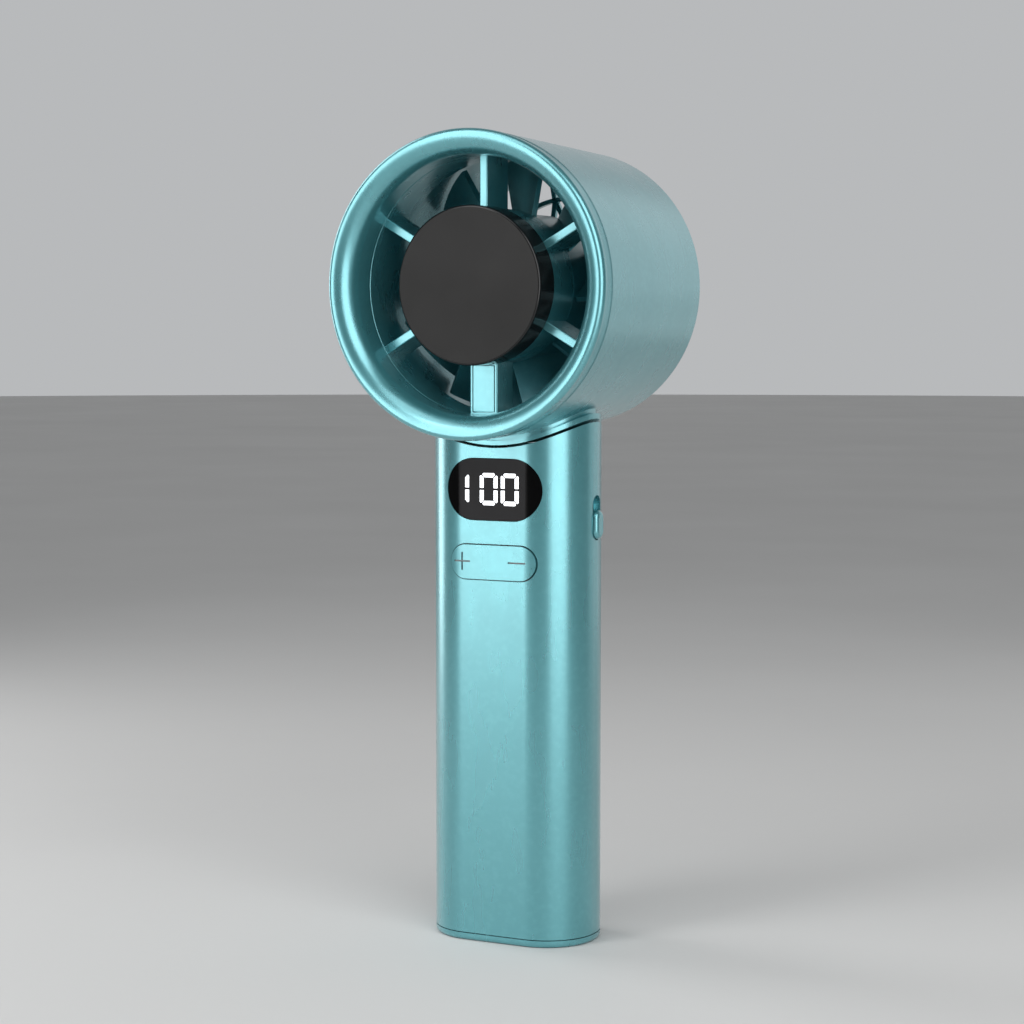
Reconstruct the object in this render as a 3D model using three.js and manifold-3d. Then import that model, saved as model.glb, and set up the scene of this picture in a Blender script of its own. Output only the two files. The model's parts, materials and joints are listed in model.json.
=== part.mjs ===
// A handheld fan: a drum-shaped head with a cooling plate in its mouth, on a long hollow handle.
// Millimetres. +X is the fan's left-to-right, +Y points out of its back, +Z is up.
// The origin is the centre of the flat underside, and the head's axis runs along Y above it.
import * as THREE from "three";
import { mergeVertices } from "three/addons/utils/BufferGeometryUtils.js";
import Module from "manifold-3d";

const wasm = await Module();
wasm.setup();

// ---- Driving dimensions ----

// Handle
const HANDLE_WIDTH = 37.6;
const HANDLE_DEPTH = 24;
const HANDLE_SIDE_FLAT = 1; // flat strip left between the two round corners of a side
const HANDLE_WALL = 1.6;
const BASE_EDGE_HEIGHT = 1.6; // part of the base cap that shows under the sleeve
const BASE_BEVEL = 1;
const SLEEVE_BASE_GAP = 0.2;

// Head
const HEAD_AXIS_HEIGHT = 143.3;
const HEAD_FRONT = -26.5; // Y of the lip's crest
const HEAD_BACK = 29.7; // Y of the drum's rear edge
const DRUM_RADIUS = 32.7; // outside of the lip, the widest part
const DRUM_TAPER = 1.8; // how much smaller the drum is at its rear edge
const DRUM_WALL = 1.8;
const SADDLE_STEP = 2.05; // from the widest radius out to the seam between head and handle
const SEAM_GAP = 0.6; // height of the seam

// Mouth of the head
const PLATE_RADIUS = 16.9; // the cooling plate
const PLATE_HEIGHT = 6.9;
const PLATE_FRONT = -23.5;
const SPOKE_FRONT = -16.4;
const SPOKE_BACK = -6.6;
const SPOKE_WIDTH = 1.9;
const WIRE_SPOKE_WIDTH = 6.6;
const WIRE_SPOKE_BACK = -9;
const SPOKE_COUNT = 6;

// Motor and impeller
const IMPELLER_FRONT = -5.2;
const IMPELLER_BACK = 10.4; // where the nose starts
const NOSE_LENGTH = 5.2;
const BLADE_COUNT = 9;
const BLADE_TIP_GAP = 0.9;
const SHAFT_RADIUS = 1;

// Controls
const DISPLAY_WIDTH = 23;
const DISPLAY_HEIGHT = 13.6;
const DISPLAY_DROP = 9; // display centre below the lowest point of the seam
const BUTTON_WIDTH = 21;
const BUTTON_HEIGHT = 7.95;
const BUTTON_DROP = 15.8; // button centre below the display centre
const SLOT_WIDTH = 4.4;
const SLOT_HEIGHT = 9.8;
const SLOT_Y = 0.8;
const SLOT_DROP = 6.3; // slot centre below the display centre
const SLIDER_TRAVEL = 3;

// Clearances
const SEAT = 0.1; // between two faces that rest on each other
const FIT = 0.15; // round a piece that is pushed into another
const SLIDE = 0.3; // round a piece that moves in a hole
const OVERCUT = 1; // how far a cutting tool runs past the face it cuts
const OUTSIDE = 40; // further out than any wall of the handle

// ---- Worked-out dimensions ----

const HANDLE_CORNER = (HANDLE_DEPTH - HANDLE_SIDE_FLAT) / 2;
const HANDLE_FRONT = -HANDLE_DEPTH / 2;
const HANDLE_BACK = HANDLE_DEPTH / 2;
const SADDLE_RADIUS = DRUM_RADIUS + SADDLE_STEP;
const SEAM_LOW = HEAD_AXIS_HEIGHT - SADDLE_RADIUS;
const DISPLAY_Z = SEAM_LOW - DISPLAY_DROP;
const BUTTON_Z = DISPLAY_Z - BUTTON_DROP;
const SLOT_Z = DISPLAY_Z - SLOT_DROP;
const SLEEVE_BOTTOM = BASE_EDGE_HEIGHT + SLEEVE_BASE_GAP;
const DUCT_RADIUS = DRUM_RADIUS - DRUM_TAPER - DRUM_WALL;
const HUB_RADIUS = PLATE_RADIUS - 0.3;
const HUB_WALL = 1;
const HUB_FLOOR = -9; // front of the floor that the motor is screwed to
const HUB_FLOOR_BACK = HUB_FLOOR + 1.6;
const RIM_RADIUS = DUCT_RADIUS - FIT;
const RIM_BORE = RIM_RADIUS - 1.55;

// ---- Making solids ----

const ROUND = 40; // sides of the large circles
const SMALL_ROUND = 12; // sides of the small ones
const CORNER_STEPS = 6; // sides of a quarter of the handle's outline

// The geometry's vertices joined up and its slivers dropped, as a manifold-3d solid facing out.
function solid(geometry) {
  const bare = geometry.clone();
  bare.deleteAttribute("normal");
  bare.deleteAttribute("uv");
  const merged = mergeVertices(bare);
  const kept = [];
  for (let i = 0; i < merged.index.count; i += 3) {
    const [a, b, c] = [0, 1, 2].map((k) => merged.index.getX(i + k));
    if (a !== b && b !== c && c !== a) kept.push(a, b, c);
  }
  return new wasm.Manifold(
    new wasm.Mesh({
      numProp: 3,
      vertProperties: merged.attributes.position.array,
      triVerts: new Uint32Array(kept),
    }),
  );
}

function join(first, ...others) {
  return others.reduce((sum, other) => sum.add(other), first);
}

function cut(first, ...tools) {
  return tools.reduce((rest, tool) => rest.subtract(tool), first);
}

function meshOf(name, body, material) {
  const { vertProperties, triVerts } = body.getMesh();
  const indexed = new THREE.BufferGeometry();
  indexed.setAttribute("position", new THREE.BufferAttribute(vertProperties, 3));
  indexed.setIndex(new THREE.BufferAttribute(triVerts, 1));
  const geometry = indexed.toNonIndexed();
  geometry.computeVertexNormals();
  const mesh = new THREE.Mesh(geometry, material);
  mesh.name = name;
  return mesh;
}

function box(low, high) {
  const [width, depth, height] = low.map((value, i) => high[i] - value);
  const middle = low.map((value, i) => (value + high[i]) / 2);
  return solid(new THREE.BoxGeometry(width, depth, height).translate(...middle));
}

// A profile of [radius, y] corners turned round the Y axis.
function turned(profile, sides = ROUND) {
  const points = profile.map(([radius, y]) => new THREE.Vector2(radius, y));
  const closed = profile[0][0] === 0 ? points : [...points, points[0].clone()];
  const clockwise = THREE.ShapeUtils.area(points) < 0;
  return solid(new THREE.LatheGeometry(clockwise ? closed.reverse() : closed, sides));
}

function disc(radius, front, back, sides = ROUND) {
  return turned([[0, front], [radius, front], [radius, back], [0, back]], sides);
}

function ring(outer, inner, front, back, sides = ROUND) {
  return turned([[inner, front], [outer, front], [outer, back], [inner, back]], sides);
}

// A cylinder along Z.
function post(radius, x, y, bottom, top, sides = SMALL_ROUND) {
  const geometry = new THREE.CylinderGeometry(radius, radius, top - bottom, sides);
  return solid(geometry.rotateX(Math.PI / 2).translate(x, y, (bottom + top) / 2));
}

function spun(body, angle) {
  return body.rotate([0, THREE.MathUtils.radToDeg(angle), 0]);
}

function extruded(shape, depth, options = {}) {
  const settings = { depth, bevelEnabled: false, curveSegments: CORNER_STEPS, ...options };
  return new THREE.ExtrudeGeometry(shape, settings);
}

// The handle's outline, drawn in by inset all round: a rectangle with large round corners.
function handleOutline(inset) {
  const x = HANDLE_WIDTH / 2 - HANDLE_CORNER;
  const y = HANDLE_DEPTH / 2 - HANDLE_CORNER;
  const corner = HANDLE_CORNER - inset;
  const shape = new THREE.Shape();
  shape.absarc(x, y, corner, 0, Math.PI / 2);
  shape.absarc(-x, y, corner, Math.PI / 2, Math.PI);
  shape.absarc(-x, -y, corner, Math.PI, 1.5 * Math.PI);
  shape.absarc(x, -y, corner, 1.5 * Math.PI, 2 * Math.PI);
  return shape;
}

// Y of the handle's front surface at x, drawn in by inset.
function frontSurface(x, inset) {
  const corner = HANDLE_CORNER - inset;
  const past = Math.max(Math.abs(x) - (HANDLE_WIDTH / 2 - HANDLE_CORNER), 0);
  return -(HANDLE_DEPTH / 2 - HANDLE_CORNER) - Math.sqrt(corner ** 2 - past ** 2);
}

function handlePrism(inset, bottom, top) {
  return solid(extruded(handleOutline(inset), top - bottom).translate(0, 0, bottom));
}

// A slot with round ends, length by width, centred on x and z, running from front to back in Y.
function oblong(length, width, x, z, front, back) {
  const half = (length - width) / 2;
  const shape = new THREE.Shape();
  shape.absarc(half, 0, width / 2, -Math.PI / 2, Math.PI / 2);
  shape.absarc(-half, 0, width / 2, Math.PI / 2, 1.5 * Math.PI);
  return solid(extruded(shape, back - front).rotateX(Math.PI / 2).translate(x, back, z));
}

// The same slot upright in the handle's +X side, running from left to right in X.
function sideOblong(height, width, y, z, left, right) {
  const half = (height - width) / 2;
  const shape = new THREE.Shape();
  shape.absarc(0, half, width / 2, 0, Math.PI);
  shape.absarc(0, -half, width / 2, Math.PI, 2 * Math.PI);
  const turn = new THREE.Matrix4().makeBasis(
    new THREE.Vector3(0, 1, 0),
    new THREE.Vector3(0, 0, 1),
    new THREE.Vector3(1, 0, 0),
  );
  return solid(extruded(shape, right - left).applyMatrix4(turn).translate(left, y, z));
}

// A round bar along a smooth curve through the points.
function cable(points, radius) {
  const curve = new THREE.CatmullRomCurve3(points.map((point) => new THREE.Vector3(...point)));
  const circle = new THREE.Shape();
  circle.absarc(0, 0, radius, 0, 2 * Math.PI);
  const settings = { steps: points.length * 4, extrudePath: curve, bevelEnabled: false, curveSegments: 4 };
  return solid(new THREE.ExtrudeGeometry(circle, settings));
}

// ---- Materials ----

function paint(color, roughness, metalness) {
  return new THREE.MeshStandardMaterial({ color, roughness, metalness });
}

const teal = paint(0x6fb9c1, 0.38, 0.45);
const tealInner = paint(0x4f9aa4, 0.45, 0.3);
const black = paint(0x2b2b2c, 0.6, 0.1);
const glossBlack = paint(0x101112, 0.12, 0);
const plastic = paint(0x3b3d40, 0.7, 0);
const steel = paint(0xb9bcc0, 0.3, 0.9);
const aluminium = paint(0xc9ccd0, 0.35, 0.9);
const copper = paint(0xb5713c, 0.35, 0.8);
const magnet = paint(0x4a4b50, 0.5, 0.4);
const boardGreen = paint(0x1f5a3c, 0.55, 0);
const ceramic = paint(0xe9e6de, 0.6, 0);
const cellWrap = paint(0x3f79b5, 0.4, 0);
const wire = paint(0x1c1c1e, 0.6, 0);

// ---- Head: shells. Head pieces are drawn round the origin and lifted to the head's axis. ----

const RING_THROAT = RIM_BORE;
const RING_CREST = DRUM_RADIUS - 1.1; // radius where the lip is furthest forward
const BELL_RUN = 4.6; // how far back the bell's curve goes
const RING_BACK = SPOKE_FRONT - 0.8;
const RING_SHOULDER = HEAD_FRONT + 1.9; // rear face of the part that shows
const RING_SPIGOT = DUCT_RADIUS + 1.35;
const DRUM_FRONT = RING_SHOULDER + 0.3;
const DRUM_BAND_BACK = DRUM_FRONT + 2.7; // end of the slightly smaller band at the drum's front
const DRUM_STEP = RING_BACK + SEAT; // where the wide front bore ends
const RIM_FRONT = RING_BACK + 2 * SEAT;

function arcPoints(steps, place) {
  return Array.from({ length: steps + 1 }, (_, i) => place((i / steps) * (Math.PI / 2)));
}

// The lip: a bell mouth inside, rounded over at the front, with a spigot that goes into the drum.
function frontRing() {
  const reach = RING_CREST - RING_THROAT;
  const bellBack = HEAD_FRONT + BELL_RUN;
  const overX = DRUM_RADIUS - RING_CREST;
  const overY = 1.3;
  const bell = arcPoints(5, (a) => [
    RING_THROAT + reach * (1 - Math.cos(a)),
    bellBack - BELL_RUN * Math.sin(a),
  ]);
  const rollover = arcPoints(3, (a) => [
    RING_CREST + overX * Math.sin(a),
    HEAD_FRONT + overY * (1 - Math.cos(a)),
  ]);
  return turned([
    [RING_THROAT, RING_BACK],
    ...bell,
    ...rollover.slice(1),
    [DRUM_RADIUS, RING_SHOULDER],
    [RING_SPIGOT - FIT, RING_SHOULDER],
    [RING_SPIGOT - FIT, RING_BACK],
  ]);
}

const CABLE_RADIUS = 1;
const CABLE_DROP_Y = -9; // where the motor cable leaves the duct
const TENON_THICKNESS = 2.6;
const TENON_PLAY = 0.2; // between the tongue and the sleeve
const TENON_BACK = HANDLE_BACK - HANDLE_WALL - TENON_PLAY;
const TENON_FRONT = TENON_BACK - TENON_THICKNESS;
const TENON_LENGTH = 12.3; // below the lowest point of the seam
const NECK_SCREW_X = 7;
const NECK_SCREW_DROP = 7.3;
const SCREW_RADIUS = 0.9;
const PILOT_RADIUS = SCREW_RADIUS + 0.05; // hole that a screw is driven into
const SCREW_HEAD_RADIUS = 1.7;
const SCREW_HEAD_HEIGHT = 1.1;

// Where the motor cable runs through the wall between the duct and the handle.
function neckCablePoints() {
  return [
    [0, CABLE_DROP_Y, -DUCT_RADIUS - 0.5],
    [0, CABLE_DROP_Y + 0.5, -DUCT_RADIUS - 3],
    [0, CABLE_DROP_Y + 2.6, -SADDLE_RADIUS - 1],
  ];
}

// The drum, with the saddle that meets the handle and the tongue that goes down inside it.
function drumShell() {
  const rear = DRUM_RADIUS - DRUM_TAPER;
  const edge = 0.5;
  const chamfer = 0.25;
  const bandStep = 0.3; // how far the band stands in from the lip
  const wall = turned([
    [RING_SPIGOT, DRUM_FRONT],
    [DRUM_RADIUS - bandStep - chamfer, DRUM_FRONT],
    [DRUM_RADIUS - bandStep, DRUM_FRONT + chamfer],
    [DRUM_RADIUS - bandStep / 2, DRUM_BAND_BACK],
    [rear, HEAD_BACK - edge],
    [rear - edge, HEAD_BACK],
    [DUCT_RADIUS, HEAD_BACK],
    [DUCT_RADIUS, DRUM_STEP],
    [RING_SPIGOT, DRUM_STEP],
  ]);
  const drop = SADDLE_RADIUS + TENON_LENGTH;
  const column = handlePrism(0, -SADDLE_RADIUS, 0);
  const saddle = cut(
    column.intersect(disc(SADDLE_RADIUS - SEAM_GAP, HANDLE_FRONT - OVERCUT, HANDLE_BACK + OVERCUT)),
    disc(DUCT_RADIUS + DRUM_WALL / 2, HANDLE_FRONT - OVERCUT, HANDLE_BACK + OVERCUT),
  );
  const inside = handlePrism(HANDLE_WALL + TENON_PLAY, -drop, -DUCT_RADIUS - DRUM_WALL / 2);
  const halfWidth = NECK_SCREW_X + 4;
  const tongue = inside.intersect(
    box([-halfWidth, TENON_FRONT, -drop], [halfWidth, TENON_BACK, 0]),
  );
  const wireHole = post(CABLE_RADIUS + SLIDE, 0, CABLE_DROP_Y, -SADDLE_RADIUS, -DUCT_RADIUS + OVERCUT);
  const exit = cable(neckCablePoints(), CABLE_RADIUS + SLIDE);
  const pilots = [-1, 1].map((side) =>
    disc(PILOT_RADIUS, TENON_FRONT - OVERCUT, TENON_BACK - 0.5, SMALL_ROUND).translate([
      side * NECK_SCREW_X,
      0,
      -SADDLE_RADIUS - NECK_SCREW_DROP,
    ]),
  );
  return cut(join(wall, saddle, tongue), wireHole, exit, ...pilots);
}

const GRILLE_FRONT = 25.4;
const GRILLE_BACK = 27.2;
const GRILLE_SKIRT_FRONT = 22.4;
const GRILLE_SKIRT_WALL = 1.4;
const GRILLE_BAR = 1.1;
const GRILLE_BAYS = 18;
const GRILLE_CENTRE_RADIUS = 13.4;
const GRILLE_RING_RADIUS = (GRILLE_CENTRE_RADIUS + DUCT_RADIUS) / 2 - 1;
const GRILLE_RING_HALF = 0.5; // half the width of the ring that the zigzag's tips meet
const GRILLE_INSET = 0.2; // how much shallower the zigzag is than the ring, at each face

// A straight bar between two points of the XZ plane, as deep as the grille.
function bar(from, to, width, front, back) {
  const run = new THREE.Vector2(to[0] - from[0], to[1] - from[1]);
  const geometry = new THREE.BoxGeometry(run.length(), back - front, width);
  geometry.rotateY(-run.angle());
  geometry.translate((from[0] + to[0]) / 2, (front + back) / 2, (from[1] + to[1]) / 2);
  return solid(geometry);
}

function polar(radius, angle) {
  return [radius * Math.cos(angle), radius * Math.sin(angle)];
}

// The intake guard: zigzag bars round a closed middle, and straight ones out to the skirt.
function rearGrille() {
  const bay = (2 * Math.PI) / GRILLE_BAYS;
  const bars = [];
  const inner = GRILLE_CENTRE_RADIUS - 0.4;
  for (let i = 0; i < GRILLE_BAYS; i += 1) {
    const apex = Math.PI / 2 + (i + 0.5) * bay;
    for (const side of [-1, 1]) {
      const foot = polar(inner, apex + (side * bay) / 2);
      const top = polar(GRILLE_RING_RADIUS, apex);
      bars.push(bar(foot, top, GRILLE_BAR, GRILLE_FRONT + GRILLE_INSET, GRILLE_BACK - GRILLE_INSET));
    }
    const outer = polar(DUCT_RADIUS - 1, apex);
    bars.push(bar(polar(GRILLE_RING_RADIUS, apex), outer, GRILLE_BAR, GRILLE_FRONT, GRILLE_BACK));
  }
  const [ringOuter, ringInner] = [1, -1].map((side) => GRILLE_RING_RADIUS + side * GRILLE_RING_HALF);
  return join(
    disc(GRILLE_CENTRE_RADIUS, GRILLE_FRONT, GRILLE_BACK),
    ring(ringOuter, ringInner, GRILLE_FRONT, GRILLE_BACK),
    ring(RIM_RADIUS, RIM_RADIUS - GRILLE_SKIRT_WALL, GRILLE_SKIRT_FRONT, GRILLE_BACK + GRILLE_INSET),
    ...bars,
  );
}

// ---- Head: the frame that carries the motor and the cooling plate ----

const MOTOR_SCREW_CIRCLE = 8;
const CHANNEL_WIDTH = 4.2;
const CHANNEL_FLOOR = WIRE_SPOKE_BACK - 0.9;
const COVER_THICKNESS = 0.8;
const COVER_WIDTH = CHANNEL_WIDTH + 1.2;
const COVER_LOW = -RIM_BORE + 0.4;
const COVER_HIGH = -HUB_RADIUS - 0.2;
const LEAD_HOLE_RADIUS = 1.4; // for the wires between the motor and the channel
const LEAD_HOLE_DROP = 11.6; // below the head's axis
const SHAFT_HOLE_RADIUS = 2.6;

function motorScrewAngles() {
  return [0, 1, 2].map((i) => Math.PI / 2 + (i * 2 * Math.PI) / 3);
}

function throughFloor(radius) {
  return disc(radius, HUB_FLOOR - OVERCUT, HUB_FLOOR_BACK + OVERCUT, SMALL_ROUND);
}

function atPolar(body, radius, angle) {
  const [x, z] = polar(radius, angle);
  return body.translate([x, 0, z]);
}

function spokeBody(angle, width, back) {
  const blade = box([-width / 2, SPOKE_FRONT, HUB_RADIUS - HUB_WALL / 2], [width / 2, back, RIM_BORE + 0.5]);
  return spun(blade, angle);
}

// The hub, its floor and six spokes inside a rim. The bottom spoke is wide, with a wire channel.
function guideFrame() {
  const hub = ring(HUB_RADIUS, HUB_RADIUS - HUB_WALL, SPOKE_FRONT, SPOKE_BACK);
  const floor = disc(HUB_RADIUS - HUB_WALL / 2, HUB_FLOOR, HUB_FLOOR_BACK);
  const rim = ring(RIM_RADIUS, RIM_BORE, RIM_FRONT, SPOKE_BACK);
  const spokes = [];
  for (let i = 0; i < SPOKE_COUNT; i += 1) {
    const bottom = i === SPOKE_COUNT / 2;
    const angle = (i * 2 * Math.PI) / SPOKE_COUNT;
    const width = bottom ? WIRE_SPOKE_WIDTH : SPOKE_WIDTH;
    spokes.push(spokeBody(angle, width, bottom ? WIRE_SPOKE_BACK : SPOKE_BACK));
  }
  const channel = box(
    [-CHANNEL_WIDTH / 2, SPOKE_FRONT - OVERCUT, -RIM_BORE + 0.8],
    [CHANNEL_WIDTH / 2, CHANNEL_FLOOR, -HUB_RADIUS + HUB_WALL + 2 * OVERCUT],
  );
  const rebate = box(
    [-COVER_WIDTH / 2, SPOKE_FRONT - OVERCUT, COVER_LOW],
    [COVER_WIDTH / 2, SPOKE_FRONT + COVER_THICKNESS + SEAT, COVER_HIGH],
  );
  const rimHoles = [0, 1.4].map((forward) =>
    post(CABLE_RADIUS + SLIDE, 0, CABLE_DROP_Y - forward, -RIM_RADIUS - OVERCUT, -RIM_BORE + 3.6),
  );
  const leadHole = throughFloor(LEAD_HOLE_RADIUS).translate([0, 0, -LEAD_HOLE_DROP]);
  const screwHoles = motorScrewAngles().map((angle) =>
    atPolar(throughFloor(SCREW_RADIUS + FIT), MOTOR_SCREW_CIRCLE, angle),
  );
  return cut(
    join(hub, floor, rim, ...spokes),
    channel,
    rebate,
    ...rimHoles,
    leadHole,
    throughFloor(SHAFT_HOLE_RADIUS),
    ...screwHoles,
  );
}

function channelCover() {
  return box(
    [-COVER_WIDTH / 2 + FIT, SPOKE_FRONT, COVER_LOW + FIT],
    [COVER_WIDTH / 2 - FIT, SPOKE_FRONT + COVER_THICKNESS, COVER_HIGH - FIT],
  );
}

// ---- Head: cooling plate and what is behind it ----

const PLATE_WALL = 1;
const PLATE_BACK = PLATE_FRONT + PLATE_HEIGHT;
const MODULE_SIDE = 15;
const PLATE_FACE_BACK = PLATE_FRONT + PLATE_WALL + 0.2;
const CARRIER_FRONT = PLATE_FACE_BACK + SEAT;
const CARRIER_BACK = CARRIER_FRONT + 3.2;
const SINK_BACK = HUB_FLOOR - 2;
const SINK_FINS = 9;
const SINK_FIN_PITCH = 3;
const SINK_FIN_HALF = 0.4;
const SINK_BASE_THICKNESS = 1.8;

function coolingPlate() {
  const edge = 0.6;
  const inner = PLATE_RADIUS - PLATE_WALL;
  return turned([
    [0, PLATE_FRONT],
    [PLATE_RADIUS - edge, PLATE_FRONT],
    [PLATE_RADIUS - edge * 0.3, PLATE_FRONT + edge * 0.3],
    [PLATE_RADIUS, PLATE_FRONT + edge],
    [PLATE_RADIUS, PLATE_BACK],
    [inner, PLATE_BACK],
    [inner, PLATE_FACE_BACK],
    [0, PLATE_FACE_BACK],
  ]);
}

function plateCarrier() {
  const half = MODULE_SIDE / 2 + FIT;
  return cut(
    disc(PLATE_RADIUS - PLATE_WALL - FIT, CARRIER_FRONT, CARRIER_BACK),
    box([-half, CARRIER_FRONT - OVERCUT, -half], [half, CARRIER_BACK + OVERCUT, half]),
  );
}

function thermoelectricModule() {
  const half = MODULE_SIDE / 2;
  return box([-half, CARRIER_FRONT, -half], [half, CARRIER_BACK, half]);
}

function heatSink() {
  const front = CARRIER_BACK + SEAT;
  const finFoot = front + SINK_BASE_THICKNESS / 2;
  const base = disc(HUB_RADIUS - HUB_WALL - FIT, front, front + SINK_BASE_THICKNESS);
  const fins = [];
  for (let i = 0; i < SINK_FINS; i += 1) {
    const x = (i - (SINK_FINS - 1) / 2) * SINK_FIN_PITCH;
    fins.push(box([x - SINK_FIN_HALF, finFoot, -HUB_RADIUS], [x + SINK_FIN_HALF, SINK_BACK, HUB_RADIUS]));
  }
  const room = disc(HUB_RADIUS - HUB_WALL - 0.5, front, SINK_BACK);
  const cableRoom = box(
    [-CHANNEL_WIDTH / 2, front + SINK_BASE_THICKNESS + 0.4, -HUB_RADIUS],
    [CHANNEL_WIDTH / 2, SINK_BACK + OVERCUT, -HUB_RADIUS / 2],
  );
  return cut(join(base, join(...fins).intersect(room)), cableRoom);
}

// ---- Head: motor and impeller ----

const IMPELLER_HUB = PLATE_RADIUS - 1;
const IMPELLER_WALL = 1.4;
const CAN_RADIUS = IMPELLER_HUB - IMPELLER_WALL - SLIDE;
const CAN_WALL = 0.8;
const CAN_FRONT = -4.6;
const CAN_BACK = IMPELLER_BACK - 1;
const MAGNET_RADIUS = CAN_RADIUS - CAN_WALL - SEAT;
const MAGNET_THICKNESS = 1.3;
const STATOR_RADIUS = MAGNET_RADIUS - MAGNET_THICKNESS - 0.4;
const STATOR_HALF = 4.6;
const STATOR_TEETH = 9;
const TUBE_RADIUS = 3.3;
const BEARING_RADIUS = 2.55;
const BEARING_WIDTH = 2.3;
const BEARING_INSET = 0.3; // from the tube's rear end to the rear bearing
const BEARING_SETBACK = 1.4; // from the motor base's front to the front bearing
const MOTOR_BASE_RADIUS = HUB_RADIUS - HUB_WALL - 3.6;
const MOTOR_BASE_FRONT = HUB_FLOOR_BACK + SEAT;
const MOTOR_BASE_BACK = MOTOR_BASE_FRONT + 1.2;
const TUBE_BACK = 7;
const SHAFT_FRONT = -6.9;
const MAGNET_FRONT = CAN_FRONT + 0.8;
const MAGNET_BACK = CAN_BACK - CAN_WALL - 2.2;
const CAN_BORE = SHAFT_RADIUS + 0.02;

function motorBase() {
  const through = (radius, back) => disc(radius, MOTOR_BASE_FRONT - OVERCUT, back + OVERCUT, SMALL_ROUND);
  const body = join(
    disc(MOTOR_BASE_RADIUS, MOTOR_BASE_FRONT, MOTOR_BASE_BACK),
    disc(TUBE_RADIUS, MOTOR_BASE_FRONT, TUBE_BACK, SMALL_ROUND),
  );
  const bore = through(BEARING_RADIUS + 0.05, TUBE_BACK);
  const leadHole = through(LEAD_HOLE_RADIUS, MOTOR_BASE_BACK).translate([0, 0, -LEAD_HOLE_DROP]);
  const holes = motorScrewAngles().map((angle) =>
    atPolar(through(PILOT_RADIUS, MOTOR_BASE_BACK), MOTOR_SCREW_CIRCLE, angle),
  );
  return cut(body, bore, leadHole, ...holes);
}

function bearing(front) {
  return ring(BEARING_RADIUS, SHAFT_RADIUS + 0.05, front, front + BEARING_WIDTH, SMALL_ROUND);
}

// Iron core with T-shaped teeth round a sleeve.
function stator() {
  const ironHalf = STATOR_HALF - 1;
  const core = disc(STATOR_RADIUS * 0.45, -STATOR_HALF, STATOR_HALF, SMALL_ROUND);
  const shoeRing = ring(STATOR_RADIUS, STATOR_RADIUS - 1.3, -ironHalf, ironHalf);
  const teeth = [];
  const slots = [];
  for (let i = 0; i < STATOR_TEETH; i += 1) {
    const angle = (i * 2 * Math.PI) / STATOR_TEETH;
    const tooth = box([-1.3, -ironHalf, 1], [1.3, ironHalf, STATOR_RADIUS - 0.8]);
    const coil = box([-2, -STATOR_HALF, STATOR_RADIUS * 0.4], [2, STATOR_HALF, STATOR_RADIUS - 2.2]);
    teeth.push(spun(tooth, angle), spun(coil, angle));
    const slot = box([-0.4, -STATOR_HALF, STATOR_RADIUS - 3], [0.4, STATOR_HALF, STATOR_RADIUS + 1]);
    slots.push(spun(slot, angle + Math.PI / STATOR_TEETH));
  }
  const bore = disc(TUBE_RADIUS + SEAT, -STATOR_HALF - OVERCUT, STATOR_HALF + OVERCUT, SMALL_ROUND);
  return cut(join(core, shoeRing, ...teeth), bore, ...slots);
}

function rotorCan() {
  return turned([
    [CAN_BORE, CAN_BACK],
    [CAN_RADIUS, CAN_BACK],
    [CAN_RADIUS, CAN_FRONT],
    [CAN_RADIUS - CAN_WALL, CAN_FRONT],
    [CAN_RADIUS - CAN_WALL, CAN_BACK - CAN_WALL],
    [CAN_BORE, CAN_BACK - CAN_WALL],
  ]);
}

function magnetRing() {
  return ring(MAGNET_RADIUS, MAGNET_RADIUS - MAGNET_THICKNESS, MAGNET_FRONT, MAGNET_BACK);
}

// A blade standing up from the hub: a cambered section, narrower and flatter to the axis at its root.
function blade() {
  const root = IMPELLER_HUB - 2.4; // low enough for the flat end to lie inside the hub
  const tip = DUCT_RADIUS - BLADE_TIP_GAP;
  const length = tip + 1 - root;
  const chord = 16;
  const camber = 2.2;
  const thickness = 1.1;
  const shape = new THREE.Shape();
  shape.moveTo(-chord / 2, 0);
  shape.quadraticCurveTo(0, camber * 2, chord / 2, 0);
  shape.quadraticCurveTo(0, camber * 2 + thickness * 2, -chord / 2, 0);
  const geometry = extruded(shape, length, { steps: 3, curveSegments: 4 });
  const rootLean = THREE.MathUtils.degToRad(38);
  const tipLean = THREE.MathUtils.degToRad(56);
  const rootWidth = 0.86; // share of the chord
  const tipWidth = 1.08;
  const place = geometry.attributes.position;
  for (let i = 0; i < place.count; i += 1) {
    const share = place.getZ(i) / length;
    const lean = THREE.MathUtils.lerp(rootLean, tipLean, share);
    const along = place.getX(i) * THREE.MathUtils.lerp(rootWidth, tipWidth, share);
    const across = place.getY(i) - camber * 0.7;
    const x = along * Math.sin(lean) - across * Math.cos(lean);
    const y = along * Math.cos(lean) + across * Math.sin(lean);
    place.setXYZ(i, x, y, place.getZ(i) + root);
  }
  return solid(geometry).intersect(disc(tip, -OUTSIDE, OUTSIDE));
}

const BLADE_MIDDLE = 3.4; // Y of the middle of a blade

function impeller() {
  const inner = CAN_RADIUS + SLIDE;
  const nose = arcPoints(5, (a) => [
    IMPELLER_HUB * Math.cos(a),
    IMPELLER_BACK + NOSE_LENGTH * Math.sin(a),
  ]);
  nose[nose.length - 1][0] = 0;
  const hub = turned([
    [0, CAN_BACK + SEAT],
    [inner, CAN_BACK + SEAT],
    [inner, IMPELLER_FRONT],
    [IMPELLER_HUB, IMPELLER_FRONT],
    ...nose,
  ]);
  const blades = [];
  for (let i = 0; i < BLADE_COUNT; i += 1) {
    blades.push(spun(blade().translate([0, BLADE_MIDDLE, 0]), (i * 2 * Math.PI) / BLADE_COUNT));
  }
  const room = disc(inner, IMPELLER_FRONT - OUTSIDE, CAN_BACK + SEAT);
  return cut(join(hub, ...blades), room);
}

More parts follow.
